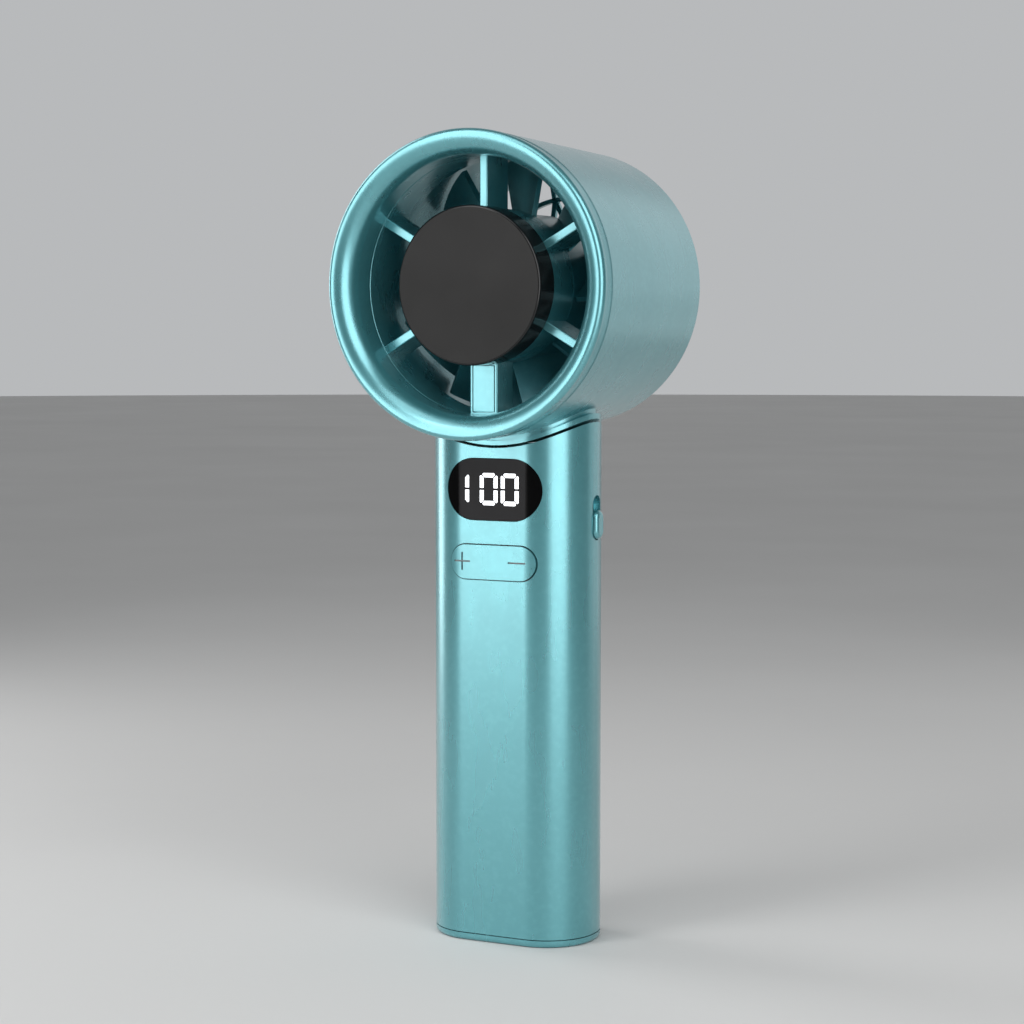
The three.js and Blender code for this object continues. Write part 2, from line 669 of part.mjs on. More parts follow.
function shaftClip() {
  const front = SHAFT_FRONT + 0.3;
  const thickness = 0.4;
  return ring(SHAFT_RADIUS + 1.1, CAN_BORE, front, front + thickness, SMALL_ROUND);
}

// A pan-head screw along Y with its head to the front, the shank ending at back.
function screwAlongY(front, back) {
  return join(
    disc(SCREW_HEAD_RADIUS, front, front + SCREW_HEAD_HEIGHT, SMALL_ROUND),
    disc(SCREW_RADIUS, front + SCREW_HEAD_HEIGHT / 2, back, SMALL_ROUND),
  );
}

// ---- Handle: shells ----

const USB_Z = 8;
const USB_WIDTH = 8.9;
const USB_HEIGHT = 3.2;
const USB_LENGTH = 7.3;
const USB_WALL = 0.3;
const USB_TONGUE_HALF = 3.3;
const USB_TONGUE_THICK = 0.7;
const SLOT_LEFT = HANDLE_WIDTH / 2 - HANDLE_WALL - OVERCUT;

function handleSleeve() {
  const top = HEAD_AXIS_HEIGHT;
  const tube = cut(
    handlePrism(0, SLEEVE_BOTTOM, top),
    handlePrism(HANDLE_WALL, SLEEVE_BOTTOM - OVERCUT, top + OVERCUT),
  );
  const saddle = disc(SADDLE_RADIUS, -OUTSIDE, OUTSIDE).translate([0, 0, HEAD_AXIS_HEIGHT]);
  const headRoom = box(
    [-OUTSIDE, -OUTSIDE, HEAD_AXIS_HEIGHT - SADDLE_RADIUS / 3],
    [OUTSIDE, OUTSIDE, top + OVERCUT],
  );
  return cut(
    tube,
    saddle,
    headRoom,
    oblong(DISPLAY_WIDTH, DISPLAY_HEIGHT, 0, DISPLAY_Z, -OUTSIDE, 0),
    oblong(BUTTON_WIDTH, BUTTON_HEIGHT, 0, BUTTON_Z, -OUTSIDE, 0),
    sideOblong(SLOT_HEIGHT, SLOT_WIDTH, SLOT_Y, SLOT_Z, SLOT_LEFT, OUTSIDE),
    oblong(USB_WIDTH + 2 * SLIDE, USB_HEIGHT + 2 * SLIDE, 0, USB_Z, 0, OUTSIDE),
  );
}

const BASE_SCREW_X = HANDLE_WIDTH / 2 - 5.6;
const BOSS_RADIUS = 2.4;
const BASE_BOSS_TOP = 6.2;
const CHASSIS_BOTTOM = 10.4;
const CHASSIS_RIB = 1.5;
const BASE_SCREW_TIP = CHASSIS_BOTTOM + 0.3;
const SCREW_SEAT = 1.9; // how deep the screw heads are sunk in the underside
const COLLAR_TOP = 5;
const COLLAR_WALL = 1.4;
const BOARD_UNDERSIDE = 5.3; // charging board
const BOARD_THICKNESS = 1;
const CHARGE_BOARD_HALF = 9.5;
const CHARGE_BOARD_FRONT = -8;
const CHARGE_BOARD_BACK = 7.4;
const LEDGE_THICKNESS = 1.2;

// The foot of the handle: a bevelled plate, a collar that goes up into the sleeve, and two bosses.
function baseCap() {
  const bevel = {
    bevelEnabled: true,
    bevelSegments: 1,
    bevelSize: BASE_BEVEL,
    bevelThickness: BASE_BEVEL,
    bevelOffset: -BASE_BEVEL,
  };
  const slab = extruded(handleOutline(0), COLLAR_TOP, bevel).translate(0, 0, BASE_BEVEL);
  const plate = solid(slab).intersect(
    box([-OUTSIDE, -OUTSIDE, 0], [OUTSIDE, OUTSIDE, BASE_EDGE_HEIGHT]),
  );
  const root = BASE_EDGE_HEIGHT - 0.5; // where collar, ledges and bosses start inside the plate
  const inset = HANDLE_WALL + FIT;
  const collar = cut(
    handlePrism(inset, root, COLLAR_TOP),
    handlePrism(inset + COLLAR_WALL, root - OVERCUT, COLLAR_TOP + OVERCUT),
  );
  const ledgeHalf = CHARGE_BOARD_HALF - 1;
  const ledges = [CHARGE_BOARD_FRONT + 1, CHARGE_BOARD_BACK - 5].map((y) =>
    box([-ledgeHalf, y, root], [ledgeHalf, y + LEDGE_THICKNESS, BOARD_UNDERSIDE - SEAT]),
  );
  const sides = [-1, 1].map((side) => side * BASE_SCREW_X);
  const bosses = sides.map((x) => post(BOSS_RADIUS, x, 0, root, BASE_BOSS_TOP));
  const holes = sides.map((x) => post(SCREW_RADIUS + FIT, x, 0, -OVERCUT, BASE_BOSS_TOP + OVERCUT));
  const sinks = sides.map((x) => post(SCREW_HEAD_RADIUS + FIT, x, 0, -OVERCUT, SCREW_SEAT));
  return cut(join(plate, collar, ...ledges, ...bosses), ...holes, ...sinks);
}

function baseScrew(side) {
  const x = side * BASE_SCREW_X;
  const head = SCREW_SEAT - SEAT - SCREW_HEAD_HEIGHT;
  return join(
    post(SCREW_HEAD_RADIUS, x, 0, head, SCREW_SEAT - SEAT),
    post(SCREW_RADIUS, x, 0, head + SCREW_HEAD_HEIGHT / 2, BASE_SCREW_TIP),
  );
}

// ---- Handle: inside ----

const MAIN_BOARD_FRONT = HANDLE_FRONT + 6.8;
const MAIN_BOARD_BACK = MAIN_BOARD_FRONT + BOARD_THICKNESS;
const MAIN_BOARD_TOP = SEAM_LOW - 2.8;
const MAIN_BOARD_BOTTOM = BUTTON_Z - 4.7;
const MAIN_BOARD_HALF = HANDLE_WIDTH / 2 - 4.8;
const CHASSIS_INSET = HANDLE_WALL + 0.3;
const CHASSIS_WALL = 0.8;
const CHASSIS_TOP = SEAM_LOW - 2;
const CELL_RADIUS = HANDLE_DEPTH / 2 - CHASSIS_INSET - 0.9;
const CELL_BOTTOM = CHASSIS_BOTTOM + CHASSIS_RIB + SLIDE;
const CELL_TOP = MAIN_BOARD_BOTTOM - 2.1;
const CABLE_X = HANDLE_WIDTH / 2 - 5.2; // charging cable, up the handle's right side
const CABLE_Y = MAIN_BOARD_BACK + 0.2;
const CABLE_NOTCH = 1.6;
const CHARGE_CABLE_RADIUS = 0.8;
const PLATE_Y = TENON_FRONT - 0.2; // rear face of the chassis plate that the neck is screwed to
const PLATE_THICKNESS = 2;

// The carrier inside the handle: a rear trough for the cell, two end ribs and an upper back.
function innerChassis() {
  const outer = handlePrism(CHASSIS_INSET, CHASSIS_BOTTOM, CHASSIS_TOP);
  const ribTop = CELL_TOP + SLIDE;
  const trough = handlePrism(CHASSIS_INSET + CHASSIS_WALL, CHASSIS_BOTTOM + CHASSIS_RIB, ribTop);
  const open = CHASSIS_TOP + OVERCUT;
  const front = box([-OUTSIDE, -OUTSIDE, CHASSIS_BOTTOM + CHASSIS_RIB], [OUTSIDE, 0, ribTop]);
  const upper = box(
    [-OUTSIDE, -OUTSIDE, ribTop + CHASSIS_RIB],
    [OUTSIDE, MAIN_BOARD_BACK + SEAT, open],
  );
  const innerWidth = MAIN_BOARD_HALF - 1;
  const well = box(
    [-innerWidth, -OUTSIDE, ribTop + CHASSIS_RIB],
    [innerWidth, PLATE_Y - PLATE_THICKNESS, open],
  );
  const tongueRoom = box(
    [-OUTSIDE, PLATE_Y, SEAM_LOW - TENON_LENGTH - SLIDE],
    [OUTSIDE, OUTSIDE, open],
  );
  const lightening = box(
    [-innerWidth, PLATE_Y - PLATE_THICKNESS - OVERCUT, ribTop + CHASSIS_RIB],
    [innerWidth, HANDLE_BACK - CHASSIS_INSET - CHASSIS_WALL, SEAM_LOW - TENON_LENGTH - 2],
  );
  const switchReach = SLOT_HEIGHT / 2 + SLIDER_TRAVEL + 1;
  const switchRoom = box(
    [innerWidth - 2, -OUTSIDE, SLOT_Z - switchReach],
    [OUTSIDE, PLATE_Y - PLATE_THICKNESS, SLOT_Z + switchReach],
  );
  const cell = post(CELL_RADIUS + FIT, 0, 0, CELL_BOTTOM, CELL_TOP, ROUND);
  const sides = [-1, 1];
  const wireNotches = sides.map((side) =>
    post(CABLE_NOTCH, side * CABLE_X, CABLE_Y, CHASSIS_BOTTOM - OVERCUT, ribTop + CHASSIS_RIB + OVERCUT),
  );
  const cableRoom = box(
    [CABLE_X - 1.2, CABLE_Y - 1, ribTop],
    [CABLE_X + CABLE_NOTCH, MAIN_BOARD_BACK + 3.6, MAIN_BOARD_BOTTOM + 3],
  );
  const bossHoles = sides.map((side) =>
    post(PILOT_RADIUS, side * BASE_SCREW_X, 0, BASE_BOSS_TOP, BASE_SCREW_TIP + 0.3),
  );
  const bosses = sides.map((side) =>
    post(BOSS_RADIUS, side * BASE_SCREW_X, 0, BASE_BOSS_TOP + SEAT, CHASSIS_BOTTOM + 1),
  );
  const neckHoles = sides.map((side) =>
    disc(SCREW_RADIUS + FIT, PLATE_Y - PLATE_THICKNESS - OVERCUT, PLATE_Y + OVERCUT, SMALL_ROUND).translate([
      side * NECK_SCREW_X,
      0,
      SEAM_LOW - NECK_SCREW_DROP,
    ]),
  );
  return cut(
    join(cut(outer, trough, front, upper, well, tongueRoom, lightening), ...bosses),
    cell,
    switchRoom,
    ...wireNotches,
    cableRoom,
    ...bossHoles,
    ...neckHoles,
  );
}

// A round cell with a small raised terminal on top.
function batteryCell() {
  const shoulder = CELL_TOP - 0.8;
  return join(
    post(CELL_RADIUS, 0, 0, CELL_BOTTOM, shoulder, 32),
    post(CELL_RADIUS * 0.35, 0, 0, shoulder - 0.2, CELL_TOP),
  );
}

function mainBoard() {
  return box(
    [-MAIN_BOARD_HALF, MAIN_BOARD_FRONT, MAIN_BOARD_BOTTOM],
    [MAIN_BOARD_HALF, MAIN_BOARD_BACK, MAIN_BOARD_TOP],
  );
}

const LENS_THICKNESS = HANDLE_WALL;
const LENS_FLANGE = 0.8;
const MODULE_HALF_WIDTH = 9.2;
const MODULE_HALF_HEIGHT = 5.5;

// A stretch of the handle's wall about height z, between two depths below its surface.
function frontSkin(from, to, z) {
  const reach = DISPLAY_HEIGHT;
  return cut(
    handlePrism(from, z - reach, z + reach),
    handlePrism(to, z - reach - OVERCUT, z + reach + OVERCUT),
  );
}

// An oblong that cuts through the handle's front half.
function frontOblong(length, width, z) {
  return oblong(length, width, 0, z, -OUTSIDE, -2);
}

// The window: flush with the sleeve and curved like it, with a flange behind the sleeve's wall.
function displayLens() {
  const behind = LENS_THICKNESS + SEAT;
  const face = frontSkin(0.02, behind + LENS_FLANGE / 2, DISPLAY_Z).intersect(
    frontOblong(DISPLAY_WIDTH - 2 * FIT, DISPLAY_HEIGHT - 2 * FIT, DISPLAY_Z),
  );
  const flange = frontSkin(behind, behind + LENS_FLANGE, DISPLAY_Z).intersect(
    frontOblong(DISPLAY_WIDTH + 2 * LENS_FLANGE, DISPLAY_HEIGHT + 2 * LENS_FLANGE, DISPLAY_Z),
  );
  return join(face, flange);
}

function displayModule() {
  const behindLens = frontSurface(MODULE_HALF_WIDTH, LENS_THICKNESS + SEAT + LENS_FLANGE) + SEAT;
  return box(
    [-MODULE_HALF_WIDTH, behindLens, DISPLAY_Z - MODULE_HALF_HEIGHT],
    [MODULE_HALF_WIDTH, MAIN_BOARD_FRONT - SEAT, DISPLAY_Z + MODULE_HALF_HEIGHT],
  );
}

// ---- Handle: speed rocker. It tips about an upright pin behind its middle. ----

const ROCKER_PROUD = 0.35;
const ROCKER_GAP = 0.25;
const ROCKER_PIN_Y = HANDLE_FRONT + 4.4;
const ROCKER_PIN_RADIUS = 0.6;
const FLANGE_INSET = HANDLE_WALL + 0.6;
const FLANGE_THICKNESS = 0.8;
const LUG_NEAR = 1.6; // from the button's middle to the near face of a lug
const LUG_FAR = 2.8;
const EAR_NEAR = 3.2;
const EAR_FAR = 4.2;
const ROCKER_LAP = 0.9; // how much wider and higher its flange is than the hole
const LUG_HALF = 1.3;
const BRACKET_HALF = 1.8;
const PRESS_X = 7.2; // where the rocker meets a switch
const STUB_HALF = 0.8;
const STUB_END = frontSurface(PRESS_X, FLANGE_INSET + FLANGE_THICKNESS) + 0.4;
const SWITCH_HALF = 2;

function rockerButton() {
  const flangeDepth = FLANGE_INSET + FLANGE_THICKNESS;
  const cap = frontSkin(-ROCKER_PROUD, FLANGE_INSET + FLANGE_THICKNESS / 2, BUTTON_Z).intersect(
    frontOblong(BUTTON_WIDTH - 2 * ROCKER_GAP, BUTTON_HEIGHT - 2 * ROCKER_GAP, BUTTON_Z),
  );
  const flange = frontSkin(FLANGE_INSET, flangeDepth, BUTTON_Z).intersect(
    frontOblong(BUTTON_WIDTH + ROCKER_LAP, BUTTON_HEIGHT + ROCKER_LAP, BUTTON_Z),
  );
  const lugs = [-1, 1].map((side) => {
    const [low, high] = [side * LUG_NEAR, side * LUG_FAR].sort((a, b) => a - b);
    return box(
      [-LUG_HALF, HANDLE_FRONT + flangeDepth - FLANGE_THICKNESS / 2, BUTTON_Z + low],
      [LUG_HALF, ROCKER_PIN_Y + 1, BUTTON_Z + high],
    );
  });
  const stubRoot = frontSurface(PRESS_X, FLANGE_INSET + FLANGE_THICKNESS / 2);
  const stubs = [-1, 1].map((side) =>
    box(
      [side * PRESS_X - STUB_HALF, stubRoot, BUTTON_Z - STUB_HALF],
      [side * PRESS_X + STUB_HALF, STUB_END, BUTTON_Z + STUB_HALF],
    ),
  );
  const bore = post(ROCKER_PIN_RADIUS + 0.06, 0, ROCKER_PIN_Y, BUTTON_Z - EAR_FAR, BUTTON_Z + EAR_FAR);
  return cut(join(cap, flange, ...lugs, ...stubs), bore);
}

function rockerPin() {
  return post(ROCKER_PIN_RADIUS, 0, ROCKER_PIN_Y, BUTTON_Z - EAR_FAR, BUTTON_Z + EAR_FAR);
}

function rockerBracket() {
  const back = MAIN_BOARD_FRONT - SEAT;
  const strip = box(
    [-BRACKET_HALF, back - 0.8, BUTTON_Z - EAR_FAR],
    [BRACKET_HALF, back, BUTTON_Z + EAR_FAR],
  );
  const ears = [-1, 1].map((side) => {
    const [low, high] = [side * EAR_NEAR, side * EAR_FAR].sort((a, b) => a - b);
    return box([-BRACKET_HALF, ROCKER_PIN_Y - 1, BUTTON_Z + low], [BRACKET_HALF, back, BUTTON_Z + high]);
  });
  const reach = EAR_FAR + OVERCUT;
  const bore = post(ROCKER_PIN_RADIUS + 0.03, 0, ROCKER_PIN_Y, BUTTON_Z - reach, BUTTON_Z + reach);
  return cut(join(strip, ...ears), bore);
}

// A push switch under one end of the rocker, with its plunger just short of the rocker's stub.
function pushSwitch(side) {
  const back = MAIN_BOARD_FRONT - SEAT;
  const x = side * PRESS_X;
  const bodyFront = Math.max(back - 1.5, STUB_END + 0.9);
  const plunger = disc(1.1, STUB_END + 0.4, bodyFront + 0.3, SMALL_ROUND).translate([x, 0, BUTTON_Z]);
  const body = box(
    [x - SWITCH_HALF, bodyFront, BUTTON_Z - SWITCH_HALF],
    [x + SWITCH_HALF, back, BUTTON_Z + SWITCH_HALF],
  );
  return join(body, plunger);
}

// ---- Handle: power slider. At rest it is at the bottom of its slot. ----

const END_PLAY = 0.25; // between the knob and the lower end of its slot
const KNOB_HEIGHT = SLOT_HEIGHT - SLIDER_TRAVEL - 2 * END_PLAY;
const KNOB_BOTTOM = SLOT_Z - SLOT_HEIGHT / 2 + END_PLAY;
const KNOB_MIDDLE = KNOB_BOTTOM + KNOB_HEIGHT / 2;
const KNOB_PROUD = 1;
const SHUTTER_RIGHT = HANDLE_WIDTH / 2 - HANDLE_WALL - SLIDE;
const SHUTTER_THICKNESS = 0.9;
const SHUTTER_LEFT = SHUTTER_RIGHT - SHUTTER_THICKNESS;
const SWITCH_RIGHT = SHUTTER_LEFT - 0.9;
const SWITCH_DEPTH = 3.4;
const LEVER_HALF = 0.9;
const LEVER_THICK = 1;
const LEVER_REACH = 1; // how far the lever goes into the switch
const FORK_PLAY = 0.1; // between the lever and the knob's fork
const FORK_THICKNESS = 0.6;
const SWITCH_HALF_HEIGHT = 5.3;

function sliderKnob() {
  const right = HANDLE_WIDTH / 2 + KNOB_PROUD;
  const root = SHUTTER_LEFT + SHUTTER_THICKNESS / 3; // where knob and fork start inside the shutter
  const knob = sideOblong(KNOB_HEIGHT, SLOT_WIDTH - 2 * SLIDE, SLOT_Y, KNOB_MIDDLE, root, right);
  const low = KNOB_BOTTOM - SLIDER_TRAVEL - SLIDE;
  const high = SLOT_Z + SLOT_HEIGHT / 2 + SLIDE;
  const halfDepth = SLOT_WIDTH / 2 + 0.8;
  const shutter = handlePrism(HANDLE_WALL + SLIDE, low, high).intersect(
    box([SHUTTER_LEFT, SLOT_Y - halfDepth, low], [SHUTTER_RIGHT + OVERCUT, SLOT_Y + halfDepth, high]),
  );
  const near = LEVER_HALF + FORK_PLAY;
  const fork = [-1, 1].map((side) => {
    const [bottom, top] = [side * near, side * (near + FORK_THICKNESS)].sort((a, b) => a - b);
    return box(
      [SWITCH_RIGHT + 0.2, SLOT_Y - 1, KNOB_MIDDLE + bottom],
      [root, SLOT_Y + 1, KNOB_MIDDLE + top],
    );
  });
  return join(knob, shutter, ...fork);
}

function switchLever() {
  return box(
    [SWITCH_RIGHT - LEVER_REACH, SLOT_Y - LEVER_THICK / 2, KNOB_MIDDLE - LEVER_HALF],
    [SHUTTER_LEFT - SEAT, SLOT_Y + LEVER_THICK / 2, KNOB_MIDDLE + LEVER_HALF],
  );
}

function powerSwitch() {
  const body = box(
    [SWITCH_RIGHT - SWITCH_DEPTH, MAIN_BOARD_BACK + SEAT, SLOT_Z - SWITCH_HALF_HEIGHT],
    [SWITCH_RIGHT, SLOT_Y + SLOT_WIDTH / 2 + 2, SLOT_Z + SWITCH_HALF_HEIGHT],
  );
  const play = 0.2;
  const track = box(
    [SWITCH_RIGHT - LEVER_REACH - play, SLOT_Y - LEVER_THICK / 2 - play, KNOB_MIDDLE - LEVER_HALF - play],
    [
      SWITCH_RIGHT + OVERCUT,
      SLOT_Y + LEVER_THICK / 2 + play,
      KNOB_MIDDLE + LEVER_HALF + SLIDER_TRAVEL + play,
    ],
  );
  return cut(body, track);
}

// ---- Handle: charging socket and cables ----

function chargeBoard() {
  return box(
    [-CHARGE_BOARD_HALF, CHARGE_BOARD_FRONT, BOARD_UNDERSIDE],
    [CHARGE_BOARD_HALF, CHARGE_BOARD_BACK, BOARD_UNDERSIDE + BOARD_THICKNESS],
  );
}

function usbPort() {
  const mouth = HANDLE_BACK - HANDLE_WALL - 0.2;
  const back = mouth - USB_LENGTH;
  const floor = back + 1;
  const shell = oblong(USB_WIDTH, USB_HEIGHT, 0, USB_Z, back, mouth);
  const cavity = oblong(
    USB_WIDTH - 2 * USB_WALL,
    USB_HEIGHT - 2 * USB_WALL,
    0,
    USB_Z,
    floor,
    mouth + OVERCUT,
  );
  const tongue = box(
    [-USB_TONGUE_HALF, floor - 0.5, USB_Z - USB_TONGUE_THICK / 2],
    [USB_TONGUE_HALF, mouth - 0.8, USB_Z + USB_TONGUE_THICK / 2],
  );
  return join(cut(shell, cavity), tongue);
}

// From the motor, down the wire channel and through the neck to the back of the main board.
function motorCable() {
  const channelY = CHANNEL_FLOOR - CABLE_RADIUS - 0.3;
  const boardY = MAIN_BOARD_BACK + CABLE_RADIUS + 1.2;
  return cable(
    [
      [0, channelY + 0.3, -HUB_RADIUS + 4],
      [0, channelY, -HUB_RADIUS],
      [0, channelY, -RIM_BORE + 4],
      [0, CABLE_DROP_Y - 0.5, -RIM_BORE + 0.4],
      ...neckCablePoints(),
      [0, MAIN_BOARD_BACK, -SADDLE_RADIUS - 1.5],
      [0, boardY, -SADDLE_RADIUS - 4],
      [0, boardY, -SADDLE_RADIUS - 8],
    ],
    CABLE_RADIUS,
  );
}

// From the charging board up beside the cell, through the ribs' notches, to the main board.
function chargeCable() {
  const boardTop = BOARD_UNDERSIDE + BOARD_THICKNESS;
  return cable(
    [
      [CHARGE_BOARD_HALF - 2.5, CABLE_Y, boardTop + 1.2],
      [CABLE_X - 1, CABLE_Y, boardTop + 2],
      [CABLE_X, CABLE_Y, CHASSIS_BOTTOM + 1],
      [CABLE_X, CABLE_Y, (CHASSIS_BOTTOM + CELL_TOP) / 2],
      [CABLE_X, CABLE_Y, CELL_TOP],
      [CABLE_X, CABLE_Y + 1.5, MAIN_BOARD_BOTTOM + 1.5],
    ],
    CHARGE_CABLE_RADIUS,
  );
}

// ---- Assembly ----

const head = new THREE.Group();
head.position.z = HEAD_AXIS_HEIGHT;
head.add(
  meshOf("drum_shell", drumShell(), teal),
  meshOf("front_ring", frontRing(), teal),
  meshOf("guide_frame", guideFrame(), teal),
  meshOf("channel_cover", channelCover(), teal),
  meshOf("rear_grille", rearGrille(), teal),
  meshOf("cooling_plate", coolingPlate(), black),
  meshOf("plate_carrier", plateCarrier(), plastic),
  meshOf("thermoelectric_module", thermoelectricModule(), ceramic),
  meshOf("heat_sink", heatSink(), aluminium),
  meshOf("motor_base", motorBase(), plastic),
  meshOf("stator", stator(), copper),
  meshOf("front_bearing", bearing(MOTOR_BASE_FRONT + BEARING_SETBACK), steel),
  meshOf("rear_bearing", bearing(TUBE_BACK - BEARING_WIDTH - BEARING_INSET), steel),
  meshOf("motor_shaft", disc(SHAFT_RADIUS, SHAFT_FRONT, CAN_BACK - SEAT / 2, SMALL_ROUND), steel),
  meshOf("shaft_clip", shaftClip(), steel),
  meshOf("rotor_can", rotorCan(), steel),
  meshOf("magnet_ring", magnetRing(), magnet),
  meshOf("impeller", impeller(), tealInner),
  meshOf("motor_cable", motorCable(), wire),
);
motorScrewAngles().forEach((angle, i) => {
  const screw = screwAlongY(HUB_FLOOR - SEAT - SCREW_HEAD_HEIGHT, MOTOR_BASE_BACK);
  head.add(meshOf(`motor_screw_${i + 1}`, atPolar(screw, MOTOR_SCREW_CIRCLE, angle), steel));
});
[-1, 1].forEach((side) => {
  const front = PLATE_Y - PLATE_THICKNESS - SEAT - SCREW_HEAD_HEIGHT;
  const place = [side * NECK_SCREW_X, 0, -SADDLE_RADIUS - NECK_SCREW_DROP];
  const screw = screwAlongY(front, TENON_BACK - 0.8).translate(place);
  head.add(meshOf(side < 0 ? "neck_screw_left" : "neck_screw_right", screw, steel));
});

const handle = new THREE.Group();
handle.add(
  meshOf("handle_sleeve", handleSleeve(), teal),
  meshOf("base_cap", baseCap(), teal),
  meshOf("base_screw_left", baseScrew(-1), steel),
  meshOf("base_screw_right", baseScrew(1), steel),
  meshOf("inner_chassis", innerChassis(), plastic),
  meshOf("battery_cell", batteryCell(), cellWrap),
  meshOf("main_board", mainBoard(), boardGreen),
  meshOf("display_module", displayModule(), plastic),
  meshOf("display_lens", displayLens(), glossBlack),
  meshOf("rocker_button", rockerButton(), teal),
  meshOf("rocker_pin", rockerPin(), steel),
  meshOf("rocker_bracket", rockerBracket(), plastic),
  meshOf("speed_up_switch", pushSwitch(-1), plastic),
  meshOf("speed_down_switch", pushSwitch(1), plastic),
  meshOf("slider_knob", sliderKnob(), teal),
  meshOf("switch_lever", switchLever(), plastic),
  meshOf("power_switch", powerSwitch(), steel),
  meshOf("charge_board", chargeBoard(), boardGreen),
  meshOf("usb_port", usbPort(), steel),
  meshOf("charge_cable", chargeCable(), wire),
);

const fan = new THREE.Group();
fan.add(head, handle);

export default fan;
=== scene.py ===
"""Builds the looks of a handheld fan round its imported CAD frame.

Metres. +X is the fan's left-to-right, +Y points out of its back, +Z is up along the handle, and the
head's axis runs along Y. Sizes in the classes are millimetres and are named for the pieces they shape.
"""

import json
import logging
import math
from contextlib import contextmanager
from dataclasses import dataclass
from enum import Enum
from itertools import pairwise
from typing import Callable, Iterator, Sequence

import bpy
from bpy.types import Material, NodeSocket, Object, ShaderNode
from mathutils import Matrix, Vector

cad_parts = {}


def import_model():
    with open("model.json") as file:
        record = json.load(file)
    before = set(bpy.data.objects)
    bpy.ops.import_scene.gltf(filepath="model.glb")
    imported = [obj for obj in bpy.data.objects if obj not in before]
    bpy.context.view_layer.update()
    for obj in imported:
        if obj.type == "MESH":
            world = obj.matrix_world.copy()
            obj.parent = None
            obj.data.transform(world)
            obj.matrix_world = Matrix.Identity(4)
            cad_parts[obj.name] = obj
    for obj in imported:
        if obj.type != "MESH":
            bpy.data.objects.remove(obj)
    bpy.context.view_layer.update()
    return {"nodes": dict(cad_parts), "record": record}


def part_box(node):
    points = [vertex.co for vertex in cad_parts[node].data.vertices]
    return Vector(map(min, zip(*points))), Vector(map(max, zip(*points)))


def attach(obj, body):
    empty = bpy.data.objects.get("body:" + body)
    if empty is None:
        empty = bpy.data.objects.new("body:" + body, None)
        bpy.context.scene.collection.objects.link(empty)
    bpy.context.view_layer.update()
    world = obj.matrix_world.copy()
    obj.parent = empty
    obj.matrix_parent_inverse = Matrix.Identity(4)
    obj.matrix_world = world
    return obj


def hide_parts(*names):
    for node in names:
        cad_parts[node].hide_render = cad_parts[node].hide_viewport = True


log = logging.getLogger("fan")

MM = 0.001
MERGE = 0.000004
ROUND = 144
SMALL_ROUND = 48

Colour = tuple[float, float, float]
Profile = list[tuple[float, float]]


class Axis(Enum):
    """The direction a block's long edges run in."""

    X = 0
    Y = 1
    Z = 2


class Body(Enum):
    """The bodies that pieces ride on."""

    HOUSING = "housing"
    ROTOR = "rotor"
    ROCKER = "speed_rocker"
    SLIDER = "power_slider"


# ---- Working on meshes ----


def deselect() -> None:
    """Leaves nothing selected."""
    bpy.ops.object.select_all(action="DESELECT")


def pick(piece: Object) -> None:
    """Selects one piece and makes it the active one.

    Args:
        piece: The object that the next operators act on.
    """
    deselect()
    piece.select_set(True)
    bpy.context.view_layer.objects.active = piece


@contextmanager
def editing(piece: Object, mode: str = "VERT") -> Iterator[None]:
    """Goes into edit mode on one piece and comes back out.

    Args:
        piece: The object to edit.
        mode: The select mode, VERT, EDGE or FACE.

    Yields:
        Nothing; operators inside the block act on the piece.
    """
    pick(piece)
    modes = tuple(mode == name for name in ("VERT", "EDGE", "FACE"))
    bpy.context.tool_settings.mesh_select_mode = modes
    bpy.ops.object.mode_set(mode="EDIT")
    yield
    bpy.ops.object.mode_set(mode="OBJECT")


def settle(piece: Object) -> None:
    """Moves a piece's place, turn and size into its mesh."""
    pick(piece)
    bpy.ops.object.transform_apply(location=True, rotation=True, scale=True)


def clear_marks(piece: Object) -> None:
    """Deselects every vertex, edge and face of a piece in object mode."""
    for part in (piece.data.vertices, piece.data.edges, piece.data.polygons):
        part.foreach_set("select", [False] * len(part))


def mark_edges(piece: Object, wanted: Callable[[Vector, Vector], bool]) -> None:
    """Selects the edges whose two ends pass a test.

    Args:
        piece: The object whose edges are looked at.
        wanted: Says of an edge's two end points whether it's selected.
    """
    clear_marks(piece)
    points = piece.data.vertices
    for edge in piece.data.edges:
        start, end = (points[i].co for i in edge.vertices)
        edge.select = wanted(start, end)


def mark_faces(piece: Object, wanted: Callable[[Vector, Vector], bool]) -> None:
    """Selects the faces whose centre and normal pass a test.

    Args:
        piece: The object whose faces are looked at.
        wanted: Says of a face's centre and normal whether it's selected.
    """
    clear_marks(piece)
    for face in piece.data.polygons:
        face.select = wanted(face.center, face.normal)


def clean(piece: Object, angle: float = 32.0) -> Object:
    """Merges doubles, turns the faces outward and smooths all but the sharp edges.

    Args:
        piece: The object to clean.
        angle: The angle in degrees above which an edge stays sharp.

    Returns:
        The same object.
    """
    with editing(piece):
        bpy.ops.mesh.select_all(action="SELECT")
        bpy.ops.mesh.remove_doubles(threshold=MERGE)
        bpy.ops.mesh.normals_make_consistent(inside=False)
    pick(piece)
    bpy.ops.object.shade_smooth_by_angle(angle=math.radians(angle))
    return piece


def soften(piece: Object, width: float, segments: int = 3, angle: float = 40.0) -> Object:
    """Rounds a piece's sharp edges with an applied bevel.

    Args:
        piece: The object to round.
        width: The bevel's width in millimetres.
        segments: How many steps the rounding has.
        angle: The angle in degrees above which an edge is rounded.

    Returns:
        The same object.
    """
    bevel = piece.modifiers.new("Edges", "BEVEL")
    bevel.width = width * MM
    bevel.segments = segments
    bevel.limit_method = "ANGLE"
    bevel.angle_limit = math.radians(angle)
    bevel.miter_outer = "MITER_ARC"
    pick(piece)
    bpy.ops.object.modifier_apply(modifier=bevel.name)
    return piece


